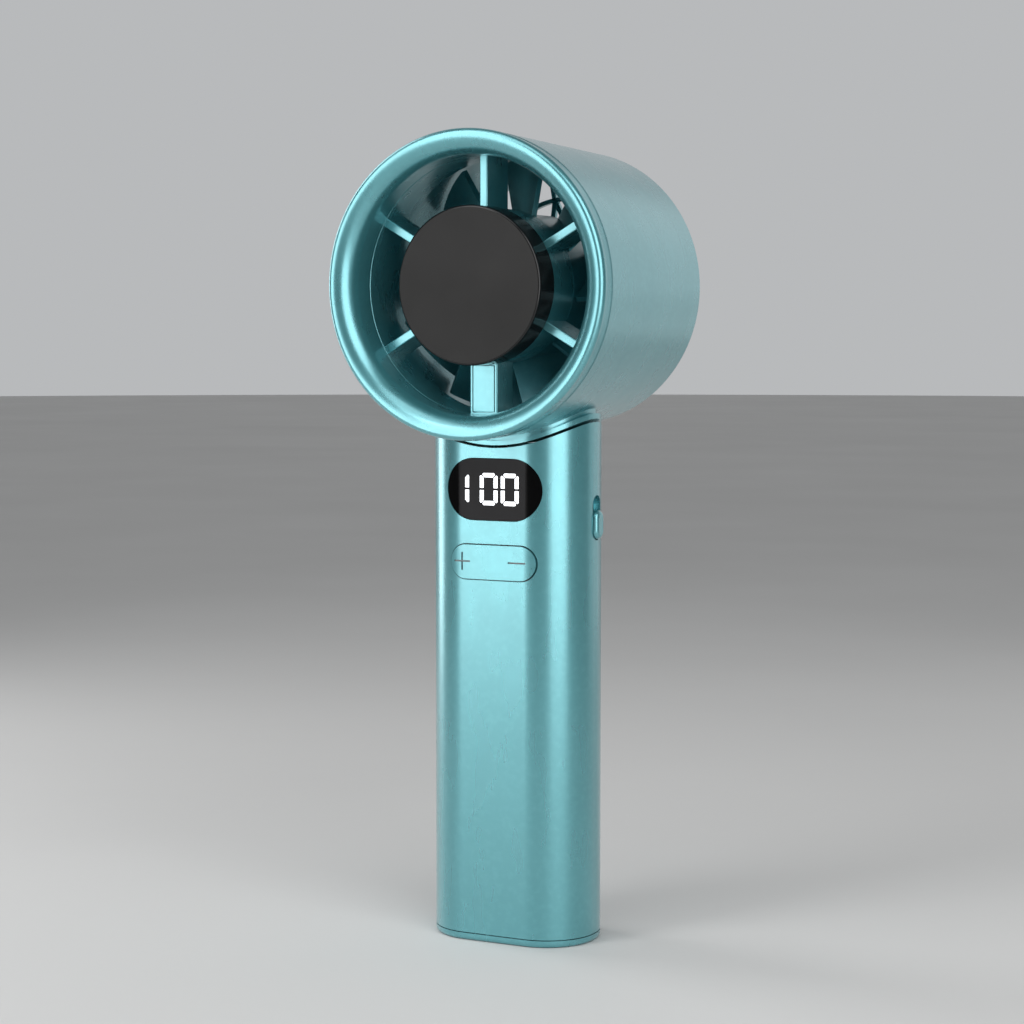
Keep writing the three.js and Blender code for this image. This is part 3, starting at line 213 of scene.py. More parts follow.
def carve(piece: Object, tool: Object, operation: str = "DIFFERENCE") -> Object:
    """Cuts a piece with a tool, or joins them, and removes the tool.

    Args:
        piece: The object that is cut.
        tool: The object that cuts it.
        operation: DIFFERENCE, INTERSECT or UNION.

    Returns:
        The cut object.
    """
    cut = piece.modifiers.new("Cut", "BOOLEAN")
    cut.object = tool
    cut.operation = operation
    cut.solver = "EXACT"
    pick(piece)
    bpy.ops.object.modifier_apply(modifier=cut.name)
    bpy.data.objects.remove(tool)
    return piece


def even_shading(piece: Object) -> Object:
    """Lets large faces set the shading at their edges, so that flats look flat beside small roundings.

    Args:
        piece: The finished piece.

    Returns:
        The same object.
    """
    weigh = piece.modifiers.new("Shading", "WEIGHTED_NORMAL")
    weigh.keep_sharp = True
    weigh.weight = 100
    pick(piece)
    bpy.ops.object.modifier_apply(modifier=weigh.name)
    return piece


def block(
    name: str,
    size: Sequence[float],
    centre: Sequence[float],
    axis: Axis = Axis.Z,
    corner: float = 0.0,
    segments: int = 10,
) -> Object:
    """A block whose four edges along one axis are rounded.

    Args:
        name: The object's name.
        size: Its width, depth and height in millimetres.
        centre: Its middle in millimetres.
        axis: The direction of the edges that are rounded.
        corner: Their radius in millimetres.
        segments: How many steps a corner has.

    Returns:
        The new object.
    """
    deselect()
    bpy.ops.mesh.primitive_cube_add(
        size=1.0,
        location=[value * MM for value in centre],
        scale=[value * MM for value in size],
    )
    piece = bpy.context.object
    piece.name = name
    settle(piece)
    if corner <= 0:
        return piece
    others = [i for i in range(3) if i != axis.value]
    mark_edges(piece, lambda a, b: all(abs(a[i] - b[i]) < MERGE for i in others))
    with editing(piece, "EDGE"):
        bpy.ops.mesh.bevel(
            offset=corner * MM * 0.9999,
            segments=segments,
            profile=0.5,
            affect="EDGES",
            clamp_overlap=True,
        )
    return piece


def turn(piece: Object, angle: float, axis: Axis, centre: Sequence[float]) -> Object:
    """Turns a piece about a point, right-handed round an axis.

    Args:
        piece: The piece that is turned.
        angle: The angle in radians.
        axis: The direction that it turns round.
        centre: The point, in metres.

    Returns:
        The same object.
    """
    pick(piece)
    bpy.ops.transform.rotate(
        value=-angle,
        orient_axis=axis.name,
        orient_type="GLOBAL",
        center_override=tuple(centre),
    )
    settle(piece)
    return piece


def copy_of(piece: Object) -> Object:
    """Copies a piece with a mesh of its own.

    Args:
        piece: The piece that is copied.

    Returns:
        The copy.
    """
    pick(piece)
    bpy.ops.object.duplicate(linked=False)
    return bpy.context.object


def merge_into(target: Object, others: Sequence[Object]) -> Object:
    """Joins several pieces' meshes into one object.

    Args:
        target: The object that keeps its name.
        others: The objects that go into it.

    Returns:
        The joined object.
    """
    pick(target)
    for other in others:
        other.select_set(True)
    bpy.ops.object.join()
    return target


def turned_copies(piece: Object, count: int, centre: Vector, start: int = 1) -> list[Object]:
    """Copies a piece evenly round the head's axis, each copy with its own mesh.

    Args:
        piece: The piece that is copied; it stays as the first one.
        count: How many there are on the whole circle.
        centre: A point on the axis, which runs along Y.
        start: The number of the first copy.

    Returns:
        The copies, without the first piece.
    """
    step = 2 * math.pi / count
    return [turn(copy_of(piece), i * step, Axis.Y, centre) for i in range(start, count)]


class Lathe:
    """Makes round pieces by extruding one circle ring after ring along the Y axis."""

    def __init__(self, x: float, z: float) -> None:
        """Sets the axis.

        Args:
            x: The axis's X in metres.
            z: The axis's Z in metres.
        """
        self.x = x
        self.z = z

    def turn(
        self,
        name: str,
        profile: Profile,
        sides: int = ROUND,
        closed: bool = True,
        capped: tuple[bool, bool] = (False, False),
    ) -> Object:
        """Turns a profile round the axis.

        Args:
            name: The object's name.
            profile: Points of radius and Y in millimetres.
            sides: How many sides the circle has.
            closed: Whether the last point joins the first.
            capped: Whether a flat face closes the start and the end of an open profile.

        Returns:
            The new object.
        """
        points = profile + [profile[0]] if closed else profile
        radius, y = points[0]
        deselect()
        bpy.ops.mesh.primitive_circle_add(
            vertices=sides,
            radius=radius * MM,
            location=(self.x, y * MM, self.z),
            rotation=(math.pi / 2, 0.0, 0.0),
            fill_type="NOTHING",
        )
        piece = bpy.context.object
        piece.name = name
        settle(piece)
        with editing(piece):
            bpy.ops.mesh.select_all(action="SELECT")
            for (old, before), (new, after) in pairwise(points):
                bpy.ops.mesh.extrude_region_move(
                    TRANSFORM_OT_translate={"value": (0.0, (after - before) * MM, 0.0)}
                )
                if new <= 0:
                    bpy.ops.mesh.merge(type="CENTER")
                    break
                if abs(new - old) > 1e-9:
                    bpy.ops.transform.resize(
                        value=(new / old, 1.0, new / old),
                        center_override=(self.x, after * MM, self.z),
                    )
            if capped[1]:
                bpy.ops.mesh.edge_face_add()
        if capped[0]:
            self._cap_start(piece)
        return clean(piece)

    def _cap_start(self, piece: Object) -> None:
        """Closes the first ring with a flat face.

        Args:
            piece: The turned object.
        """
        with editing(piece):
            bpy.ops.mesh.select_all(action="DESELECT")
            bpy.ops.mesh.select_non_manifold(
                extend=False,
                use_wire=False,
                use_boundary=True,
                use_multi_face=False,
                use_non_contiguous=False,
                use_verts=False,
            )
            bpy.ops.mesh.edge_face_add()

    def disc(self, name: str, radius: float, front: float, back: float, sides: int = ROUND) -> Object:
        """A plain round bar, used as a cutting tool.

        Args:
            name: The object's name.
            radius: Its radius in millimetres.
            front: Its front face's Y in millimetres.
            back: Its back face's Y in millimetres.
            sides: How many sides it has.

        Returns:
            The new object.
        """
        return self.turn(name, [(radius, front), (radius, back)], sides, False, (True, True))


def arc(
    centre: tuple[float, float], radii: tuple[float, float], start: float, end: float, steps: int
) -> Profile:
    """Points on a quarter or part of an ellipse in a lathe profile.

    Args:
        centre: The ellipse's centre as radius and Y.
        radii: Its half sizes in the radius direction and in Y.
        start: The first angle in degrees, from the radius direction towards +Y.
        end: The last angle in degrees.
        steps: How many steps there are.

    Returns:
        The points.
    """
    angles = [math.radians(start + (end - start) * i / steps) for i in range(steps + 1)]
    return [(centre[0] + radii[0] * math.cos(a), centre[1] + radii[1] * math.sin(a)) for a in angles]


# ---- Finishes ----


class NodeBench:
    """Adds shader nodes to one material and links them."""

    def __init__(self, name: str) -> None:
        """Starts a material with a principled shader.

        Args:
            name: The material's name.
        """
        self.material = bpy.data.materials.new(name)
        self.material.use_nodes = True
        self.tree = self.material.node_tree
        self.tree.nodes.clear()
        self.output = self.add("ShaderNodeOutputMaterial")
        self.shader = self.add("ShaderNodeBsdfPrincipled")
        self.link(self.shader.outputs["BSDF"], self.output.inputs["Surface"])
        self.place = self.add("ShaderNodeTexCoord").outputs["Object"]

    def add(self, kind: str) -> ShaderNode:
        """Adds a node of a kind and returns it."""
        return self.tree.nodes.new(kind)

    def link(self, source: NodeSocket, target: NodeSocket) -> None:
        """Links an output to an input."""
        self.tree.links.new(source, target)

    def set(self, **values: float | tuple[float, ...]) -> None:
        """Sets constants on the shader's own sockets, named with underscores for spaces."""
        for name, value in values.items():
            self.shader.inputs[name.replace("_", " ")].default_value = value

    def stretched(self, scale: Sequence[float]) -> NodeSocket:
        """The object's coordinates scaled differently along each axis.

        Args:
            scale: The scale along X, Y and Z.

        Returns:
            The scaled coordinates.
        """
        mapping = self.add("ShaderNodeMapping")
        mapping.inputs["Scale"].default_value = scale
        self.link(self.place, mapping.inputs["Vector"])
        return mapping.outputs["Vector"]

    def noise(self, scale: float, detail: float = 3.0, place: NodeSocket | None = None) -> NodeSocket:
        """Cloudy noise.

        Args:
            scale: How many features there are per metre.
            detail: How many finer layers are added.
            place: The coordinates, or the object's own if left out.

        Returns:
            The noise's factor.
        """
        node = self.add("ShaderNodeTexNoise")
        node.inputs["Scale"].default_value = scale
        node.inputs["Detail"].default_value = detail
        self.link(place or self.place, node.inputs["Vector"])
        return node.outputs["Fac"]

    def spread(
        self, source: NodeSocket, low: float, high: float, ends: tuple[float, float]
    ) -> NodeSocket:
        """Maps a range of a factor onto two numbers.

        Args:
            source: The factor.
            low: The result at the first end.
            high: The result at the second end.
            ends: The two factor values.

        Returns:
            The mapped number.
        """
        node = self.add("ShaderNodeMapRange")
        node.inputs["From Min"].default_value = ends[0]
        node.inputs["From Max"].default_value = ends[1]
        node.inputs["To Min"].default_value = low
        node.inputs["To Max"].default_value = high
        self.link(source, node.inputs["Value"])
        return node.outputs["Result"]

    def blend(
        self, share: NodeSocket, first: Colour | NodeSocket, second: Colour | NodeSocket
    ) -> NodeSocket:
        """Mixes two colours.

        Args:
            share: How much of the second colour shows.
            first: The first colour or a link to it.
            second: The second colour or a link to it.

        Returns:
            The mixed colour.
        """
        node = self.add("ShaderNodeMix")
        node.data_type = "RGBA"
        self.link(share, node.inputs["Factor"])
        for socket, colour in ((node.inputs[6], first), (node.inputs[7], second)):
            if isinstance(colour, tuple):
                socket.default_value = (*colour, 1.0)
            else:
                self.link(colour, socket)
        return node.outputs[2]

    def bump(self, height: NodeSocket, depth: float) -> NodeSocket:
        """Relief from a height.

        Args:
            height: The height from 0 to 1.
            depth: What a height of 1 is in millimetres.

        Returns:
            The normal.
        """
        node = self.add("ShaderNodeBump")
        node.inputs["Distance"].default_value = depth * MM
        self.link(height, node.inputs["Height"])
        return node.outputs["Normal"]

    def dress(self, colour: NodeSocket, roughness: NodeSocket, normal: NodeSocket) -> None:
        """Links colour, roughness and normal to the shader."""
        self.link(colour, self.shader.inputs["Base Color"])
        self.link(roughness, self.shader.inputs["Roughness"])
        self.link(normal, self.shader.inputs["Normal"])


@dataclass(frozen=True)
class SatinLacquer:
    """Metallic lacquer over a moulding: fine flakes, slight mottling and a satin top."""

    name: str
    colour: Colour
    deep: Colour
    metal: float = 0.7
    gloss: tuple[float, float] = (0.25, 0.32)

    def material(self) -> Material:
        """Makes the material."""
        bench = NodeBench(self.name)
        cloud = bench.noise(38.0, 4.0)
        flake = bench.noise(700.0, 2.0)
        scuff = bench.noise(60.0, 5.0, bench.stretched((3.0, 3.0, 1.0)))
        toned = bench.blend(bench.spread(cloud, 0.0, 1.0, (0.3, 0.7)), self.colour, self.deep)
        bright = tuple(min(1.0, value * 1.12 + 0.01) for value in self.colour)
        colour = bench.blend(bench.spread(flake, 0.0, 0.35, (0.45, 0.75)), toned, bright)
        roughness = bench.spread(scuff, self.gloss[0], self.gloss[1], (0.3, 0.7))
        orange_peel = bench.bump(bench.noise(500.0, 1.0), 0.0008)
        bench.set(Metallic=self.metal, IOR=1.5, Coat_Weight=1.0, Coat_IOR=1.8, Coat_Roughness=0.26)
        bench.dress(colour, roughness, orange_peel)
        return bench.material


@dataclass(frozen=True)
class Moulding:
    """Plain moulded plastic with a spark-eroded grain."""

    name: str
    colour: Colour
    gloss: tuple[float, float] = (0.45, 0.62)
    grain: float = 0.02

    def material(self) -> Material:
        """Makes the material."""
        bench = NodeBench(self.name)
        cloud = bench.noise(60.0, 4.0)
        paler = tuple(min(1.0, value * 1.25 + 0.01) for value in self.colour)
        darker = tuple(value * 0.8 for value in self.colour)
        colour = bench.blend(bench.spread(cloud, 0.0, 1.0, (0.3, 0.7)), darker, paler)
        roughness = bench.spread(bench.noise(300.0, 3.0), *self.gloss, (0.3, 0.7))
        normal = bench.bump(bench.noise(2600.0, 2.0), self.grain)
        bench.set(IOR=1.47)
        bench.dress(colour, roughness, normal)
        return bench.material


@dataclass(frozen=True)
class Anodised:
    """Black anodised alloy: a fine matt tooth with faint dust and rub marks."""

    name: str
    colour: Colour
    gloss: tuple[float, float] = (0.56, 0.64)
    metal: float = 0.0
    tooth: float = 0.008

    def material(self) -> Material:
        """Makes the material."""
        bench = NodeBench(self.name)
        cloud = bench.noise(45.0, 5.0)
        rub = bench.noise(110.0, 6.0)
        paler = tuple(value * 1.35 + 0.002 for value in self.colour)
        colour = bench.blend(bench.spread(cloud, 0.0, 1.0, (0.3, 0.75)), self.colour, paler)
        roughness = bench.spread(rub, self.gloss[0], self.gloss[1], (0.3, 0.7))
        normal = bench.bump(bench.noise(4200.0, 2.0), self.tooth)
        bench.set(Metallic=self.metal, IOR=1.42)
        bench.dress(colour, roughness, normal)
        return bench.material


@dataclass(frozen=True)
class SmokedWindow:
    """Polished smoke-black plastic with a paler screen area behind its middle."""

    name: str
    left: float
    right: float
    screen: Colour = (0.013, 0.0125, 0.0135)
    ends: Colour = (0.002, 0.002, 0.0022)

    def material(self) -> Material:
        """Makes the material."""
        bench = NodeBench(self.name)
        split = bench.add("ShaderNodeSeparateXYZ")
        bench.link(bench.place, split.inputs[0])
        blur = 0.25 * MM
        left = self.left * MM
        right = self.right * MM
        past_left = bench.spread(split.outputs["X"], 0.0, 1.0, (left, left + blur))
        past_right = bench.spread(split.outputs["X"], 1.0, 0.0, (right - blur, right))
        both = bench.add("ShaderNodeMath")
        both.operation = "MULTIPLY"
        bench.link(past_left, both.inputs[0])
        bench.link(past_right, both.inputs[1])
        mottled = bench.blend(bench.noise(220.0, 3.0), self.screen, tuple(v * 1.3 for v in self.screen))
        colour = bench.blend(both.outputs[0], self.ends, mottled)
        roughness = bench.spread(bench.noise(90.0, 5.0), 0.12, 0.2, (0.3, 0.7))
        normal = bench.bump(bench.noise(700.0, 2.0), 0.0006)
        bench.set(IOR=1.17)
        bench.dress(colour, roughness, normal)
        return bench.material


@dataclass(frozen=True)
class LitSegment:
    """A white light-guide segment of the display."""

    name: str
    colour: Colour = (0.95, 0.97, 1.0)
    power: float = 1.6

    def material(self) -> Material:
        """Makes the material."""
        bench = NodeBench(self.name)
        haze = bench.noise(1400.0, 3.0)
        dimmer = tuple(value * 0.94 for value in self.colour)
        glow = bench.blend(bench.spread(haze, 0.0, 1.0, (0.3, 0.7)), dimmer, self.colour)
        bench.link(glow, bench.shader.inputs["Emission Color"])
        bench.set(Emission_Strength=self.power)
        bench.dress(glow, bench.spread(haze, 0.3, 0.4, (0.3, 0.7)), bench.bump(haze, 0.002))
        return bench.material


@dataclass(frozen=True)
class Metal:
    """Bare or plated metal with drawn lines and small stains."""

    name: str
    colour: Colour
    gloss: tuple[float, float] = (0.22, 0.38)
    lines: tuple[float, float, float] = (1.0, 14.0, 1.0)

    def material(self) -> Material:
        """Makes the material."""
        bench = NodeBench(self.name)
        stain = bench.noise(150.0, 5.0)
        drawn = bench.noise(420.0, 3.0, bench.stretched(self.lines))
        duller = tuple(value * 0.72 for value in self.colour)
        colour = bench.blend(bench.spread(stain, 0.0, 1.0, (0.4, 0.75)), self.colour, duller)
        roughness = bench.spread(drawn, self.gloss[0], self.gloss[1], (0.3, 0.7))
        bench.set(Metallic=1.0)
        bench.dress(colour, roughness, bench.bump(drawn, 0.006))
        return bench.material


@dataclass(frozen=True)
class WoundCore:
    """Laminated iron with enamelled copper wound on it: fine turns, with painted shade in the gaps
    between them.
    """

    name: str
    colour: Colour = (0.62, 0.27, 0.10)
    # Painted shade: the colour of the crevices between the turns, darkened for the shade that falls
    # there.
    gap: Colour = (0.07, 0.035, 0.02)

    def material(self) -> Material:
        """Makes the material."""
        bench = NodeBench(self.name)
        turns = bench.add("ShaderNodeTexWave")
        turns.bands_direction = "Y"
        turns.inputs["Scale"].default_value = 900.0
        turns.inputs["Distortion"].default_value = 1.5
        bench.link(bench.place, turns.inputs["Vector"])
        # The wave's troughs take the painted-shade colour between the turns.
        colour = bench.blend(turns.outputs["Fac"], self.gap, self.colour)
        roughness = bench.spread(bench.noise(400.0), 0.25, 0.45, (0.3, 0.7))
        bench.set(Metallic=0.7)
        bench.dress(colour, roughness, bench.bump(turns.outputs["Fac"], 0.12))
        return bench.material


@dataclass(frozen=True)
class CircuitBoard:
    """Green solder mask with paler copper areas under it."""

    name: str
    mask: Colour = (0.015, 0.14, 0.06)
    track: Colour = (0.05, 0.26, 0.12)

    def material(self) -> Material:
        """Makes the material."""
        bench = NodeBench(self.name)
        cells = bench.add("ShaderNodeTexVoronoi")
        cells.distance = "MANHATTAN"
        cells.inputs["Scale"].default_value = 420.0
        bench.link(bench.place, cells.inputs["Vector"])
        share = bench.spread(cells.outputs["Distance"], 0.0, 1.0, (0.45, 0.55))
        colour = bench.blend(share, self.mask, self.track)
        roughness = bench.spread(bench.noise(500.0), 0.25, 0.4, (0.3, 0.7))
        bench.set(IOR=1.5)
        bench.dress(colour, roughness, bench.bump(share, 0.03))
        return bench.material


@dataclass(frozen=True)
class StudioFloor:
    """A pale matt floor with a faint mottle."""

    name: str
    colour: Colour = (0.66, 0.66, 0.655)

    def material(self) -> Material:
        """Makes the material."""
        bench = NodeBench(self.name)
        cloud = bench.noise(3.0, 6.0)
        darker = tuple(value * 0.95 for value in self.colour)
        colour = bench.blend(bench.spread(cloud, 0.0, 1.0, (0.35, 0.7)), self.colour, darker)
        roughness = bench.spread(bench.noise(9.0, 4.0), 0.55, 0.7, (0.3, 0.7))
        bench.dress(colour, roughness, bench.bump(bench.noise(260.0, 4.0), 0.06))
        return bench.material


class Paints:
    """The finishes of all pieces, each made once, and the record's slot each belongs to."""

    def __init__(self) -> None:
        """Makes the materials."""
        teal = (0.105, 0.40, 0.445)
        teal_deep = (0.093, 0.375, 0.42)
        self.shell = SatinLacquer("teal satin lacquer", teal, teal_deep).material()
        self.blade = SatinLacquer(
            "teal blade moulding", (0.07, 0.29, 0.33), (0.05, 0.24, 0.28), 0.5, (0.34, 0.44)
        ).material()
        # Painted shade: a near-black teal for the walls and floors of the rocker's plus and minus,
        # standing in for the shade inside these narrow grooves.
        self.groove = SatinLacquer(
            "teal in the grooves", (0.012, 0.055, 0.065), (0.010, 0.045, 0.055), 0.0, (0.6, 0.7)
        ).material()
        self.plate = Anodised("black anodised face", (0.012, 0.0117, 0.0115)).material()
        self.plate_edge = Anodised(
            "black polished edge", (0.006, 0.006, 0.0065), (0.10, 0.17), 0.1, 0.001
        ).material()
        self.window = SmokedWindow("smoked display window", -8.55, 7.75).material()
        self.segment = LitSegment("lit display segment").material()
        self.dark = Moulding("dark moulding", (0.028, 0.028, 0.031)).material()
        self.steel = Metal("bright zinc steel", (0.60, 0.61, 0.63)).material()
        self.alloy = Metal(
            "extruded alloy", (0.72, 0.73, 0.75), (0.28, 0.42), (1.0, 1.0, 12.0)
        ).material()
        self.copper = WoundCore("wound core").material()
        self.magnet = Moulding("bonded magnet", (0.035, 0.035, 0.04), (0.35, 0.5), 0.01).material()
        self.board = CircuitBoard("circuit board").material()
        self.ceramic = Moulding("unglazed ceramic", (0.78, 0.76, 0.70), (0.5, 0.65), 0.01).material()
        self.sleeve = Moulding("cell shrink sleeve", (0.05, 0.18, 0.42), (0.2, 0.32), 0.004).material()
        self.cable = Moulding("cable vinyl", (0.014, 0.014, 0.015), (0.35, 0.5), 0.006).material()

    def by_slot(self) -> dict[str, Material]:
        """The record's material slots and their finishes."""
        return {
            "shell": self.shell,
            "blade": self.blade,
            "plate": self.plate,
            "lens": self.window,
            "plastic_dark": self.dark,
            "steel": self.steel,
            "alloy": self.alloy,
            "iron_and_copper": self.copper,
            "magnet": self.magnet,
            "board": self.board,
            "ceramic_white": self.ceramic,
            "cell": self.sleeve,
            "cable": self.cable,
        }


def paint(piece: Object, material: Material) -> None:
    """Gives a piece one material."""
    piece.data.materials.clear()
    piece.data.materials.append(material)


def hand_over(piece: Object, body: Body, slot: str, material: Material, *nodes: str) -> Object:
    """Dresses a finished piece and puts it on its body in place of CAD nodes.

    Args:
        piece: The finished piece.
        body: The body that it rides on.
        slot: The record's material slot of the piece; not used.
        material: Its material.
        nodes: The CAD nodes that it stands for.

    Returns:
        The same piece.
    """
    if not piece.data.materials:
        paint(piece, material)
    even_shading(piece)
    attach(piece, body.value)
    if nodes:
        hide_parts(*nodes)
    log.info("%s: %d faces for %s", piece.name, len(piece.data.polygons), ", ".join(nodes) or "no node")
    return piece


# ---- The fan's places, read from its frame ----


class Places:
    """Heights and depths of the fan's parts, in millimetres, taken from the CAD nodes' boxes."""

    def __init__(self) -> None:
        """Reads the boxes."""
        ring_low, ring_high = self._box("front_ring")
        sleeve_low, sleeve_high = self._box("handle_sleeve")
        self.axis = (ring_low.z + ring_high.z) / 2
        self.lip_radius = (ring_high.z - ring_low.z) / 2
        self.lip_front = ring_low.y
        self.ring_back = ring_high.y
        self.drum_back = self._box("drum_shell")[1].y
        self.width = sleeve_high.x - sleeve_low.x
        self.depth = sleeve_high.y - sleeve_low.y
        self.sleeve_bottom = sleeve_low.z
        self.guard_front = self._box("rear_grille")[0].y
        self.guard_back = self._box("rear_grille")[1].y
        self.plate_front = self._box("cooling_plate")[0].y
        self.plate_back = self._box("cooling_plate")[1].y
        self.plate_radius = self._box("cooling_plate")[1].x
        self.frame_front = self._box("guide_frame")[0].y
        self.frame_back = self._box("guide_frame")[1].y
        self.frame_radius = self._box("guide_frame")[1].x
        self.blades_front = self._box("impeller")[0].y
        self.blades_back = self._box("impeller")[1].y
        self.blade_tip = self._box("impeller")[1].x
        self.display_z = self._middle("display_lens").z
        self.rocker_z = self._middle("rocker_button").z
        self.rocker_front = self._box("rocker_button")[0].y
        self.rocker_back = self._box("rocker_button")[1].y
        self.knob_right = self._box("slider_knob")[1].x
        self.shutter_left = self._box("slider_knob")[0].x
        self.shutter_low = self._box("slider_knob")[0].z
        self.shutter_high = self._box("slider_knob")[1].z
        self.slot_y = self._middle("slider_knob").y
        self.socket_z = self._middle("usb_port").z
        self.screw_x = self._middle("base_screw_right").x
        self.lathe = Lathe(0.0, self.axis * MM)
        self.axis_point = Vector((0.0, 0.0, self.axis * MM))

    @staticmethod
    def _box(node: str) -> tuple[Vector, Vector]:
        """A node's lowest and highest corner in millimetres."""
        low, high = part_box(node)
        return low / MM, high / MM

    def _middle(self, node: str) -> Vector:
        """The middle of a node's box in millimetres."""
        low, high = self._box(node)
        return (low + high) / 2


# ---- Head ----


@dataclass
class MouthRing:
    """The lip at the front of the drum: a bell mouth inside, rolled over to a thin outer bead."""

    places: Places
    throat: float = 27.4
    crest_inset: float = 1.1
    bell_run: float = 4.6
    roll_depth: float = 1.3
    shoulder: float = 1.9
    spigot: float = 30.3

    def build(self) -> Object:
        """Turns the ring.

        Returns:
            The ring.
        """
        p = self.places
        crest = p.lip_radius - self.crest_inset
        bead_back = p.lip_front + self.shoulder
        bell_back = p.lip_front + self.bell_run
        nib = 0.18
        bell = arc((crest, bell_back), (crest - self.throat, self.bell_run), 180, 270, 30)
        roll_middle = (crest, p.lip_front + self.roll_depth)
        roll = arc(roll_middle, (self.crest_inset, self.roll_depth), -90, 0, 12)
        profile = [(self.throat, p.ring_back)] + bell + roll[1:] + [
            (p.lip_radius, bead_back - nib),
            (p.lip_radius - nib * 0.3, bead_back - nib * 0.3),
            (p.lip_radius - nib, bead_back),
            (self.spigot + nib, bead_back),
            (self.spigot, bead_back + nib),
            (self.spigot, p.ring_back),
        ]
        return p.lathe.turn("mouth_ring", profile)


@dataclass
class Drum:
    """The drum with the saddle under it that meets the handle."""

    places: Places
    taper: float = 1.8
    wall: float = 1.8
    band: float = 2.7
    band_step: float = 0.3
    groove: float = 2.2
    saddle_radius: float = 34.15
    saddle_edge: float = 0.4
    flange: float = 0.95
    neck_inset: float = 1.0
    corner: float = 11.5

    def build(self) -> Object:
        """Turns the drum and joins the saddle to it.

        Returns:
            The drum.
        """
        p = self.places
        rear = p.lip_radius - self.taper
        duct = rear - self.wall
        front = p.lip_front + self.groove
        step = self.band_step
        band_back = front + self.band
        spigot_bore = duct + 1.35
        edge = 0.7
        profile = [
            (spigot_bore, front),
            (p.lip_radius - step - 0.25, front),
            (p.lip_radius - step - 0.07, front + 0.07),
            (p.lip_radius - step, front + 0.25),
            (p.lip_radius - step, band_back - 0.3),
            (p.lip_radius - step * 0.45, band_back),
        ]
        profile += arc((rear - edge, p.drum_back - edge), (edge, edge), 0, 90, 6)
        inner = 0.45
        profile += arc((duct + inner, p.drum_back - inner), (inner, inner), 90, 180, 4)
        profile += [(duct, p.ring_back + 0.1), (spigot_bore, p.ring_back + 0.1)]
        drum = p.lathe.turn("head_drum", profile)
        return clean(merge_into(drum, [self._saddle(duct)]))

    def _saddle(self, duct: float) -> Object:
        """The block between drum and handle, with the handle's outline and a round underside.

        Args:
            duct: The radius of the drum's bore.

        Returns:
            The saddle.
        """
        p = self.places
        reach = p.depth
        height = self.saddle_radius
        lip_bore = self.saddle_radius - self.flange
        flange = self._column("saddle", 0.0, height)
        carve(flange, p.lathe.disc("saddle sweep", self.saddle_radius, -reach, reach), "INTERSECT")
        carve(flange, p.lathe.disc("flange bore", lip_bore, -reach, reach), "DIFFERENCE")
        neck = self._column("neck", self.neck_inset, height)
        carve(neck, p.lathe.disc("neck sweep", lip_bore + self.flange / 2, -reach, reach), "INTERSECT")
        carve(neck, p.lathe.disc("saddle bore", duct + self.wall / 2, -reach, reach), "DIFFERENCE")
        carve(flange, neck, "UNION")
        return soften(clean(flange), self.saddle_edge, 4, 50.0)

    def _column(self, name: str, inset: float, height: float) -> Object:
        """A block with the handle's outline that hangs from the head's axis.

        Args:
            name: The object's name.
            inset: How far it's drawn in all round.
            height: How far down it goes.

        Returns:
            The block.
        """
        p = self.places
        size = (p.width - 2 * inset, p.depth - 2 * inset, height)
        return block(name, size, (0.0, 0.0, p.axis - height / 2), Axis.Z, self.corner - inset, 28)


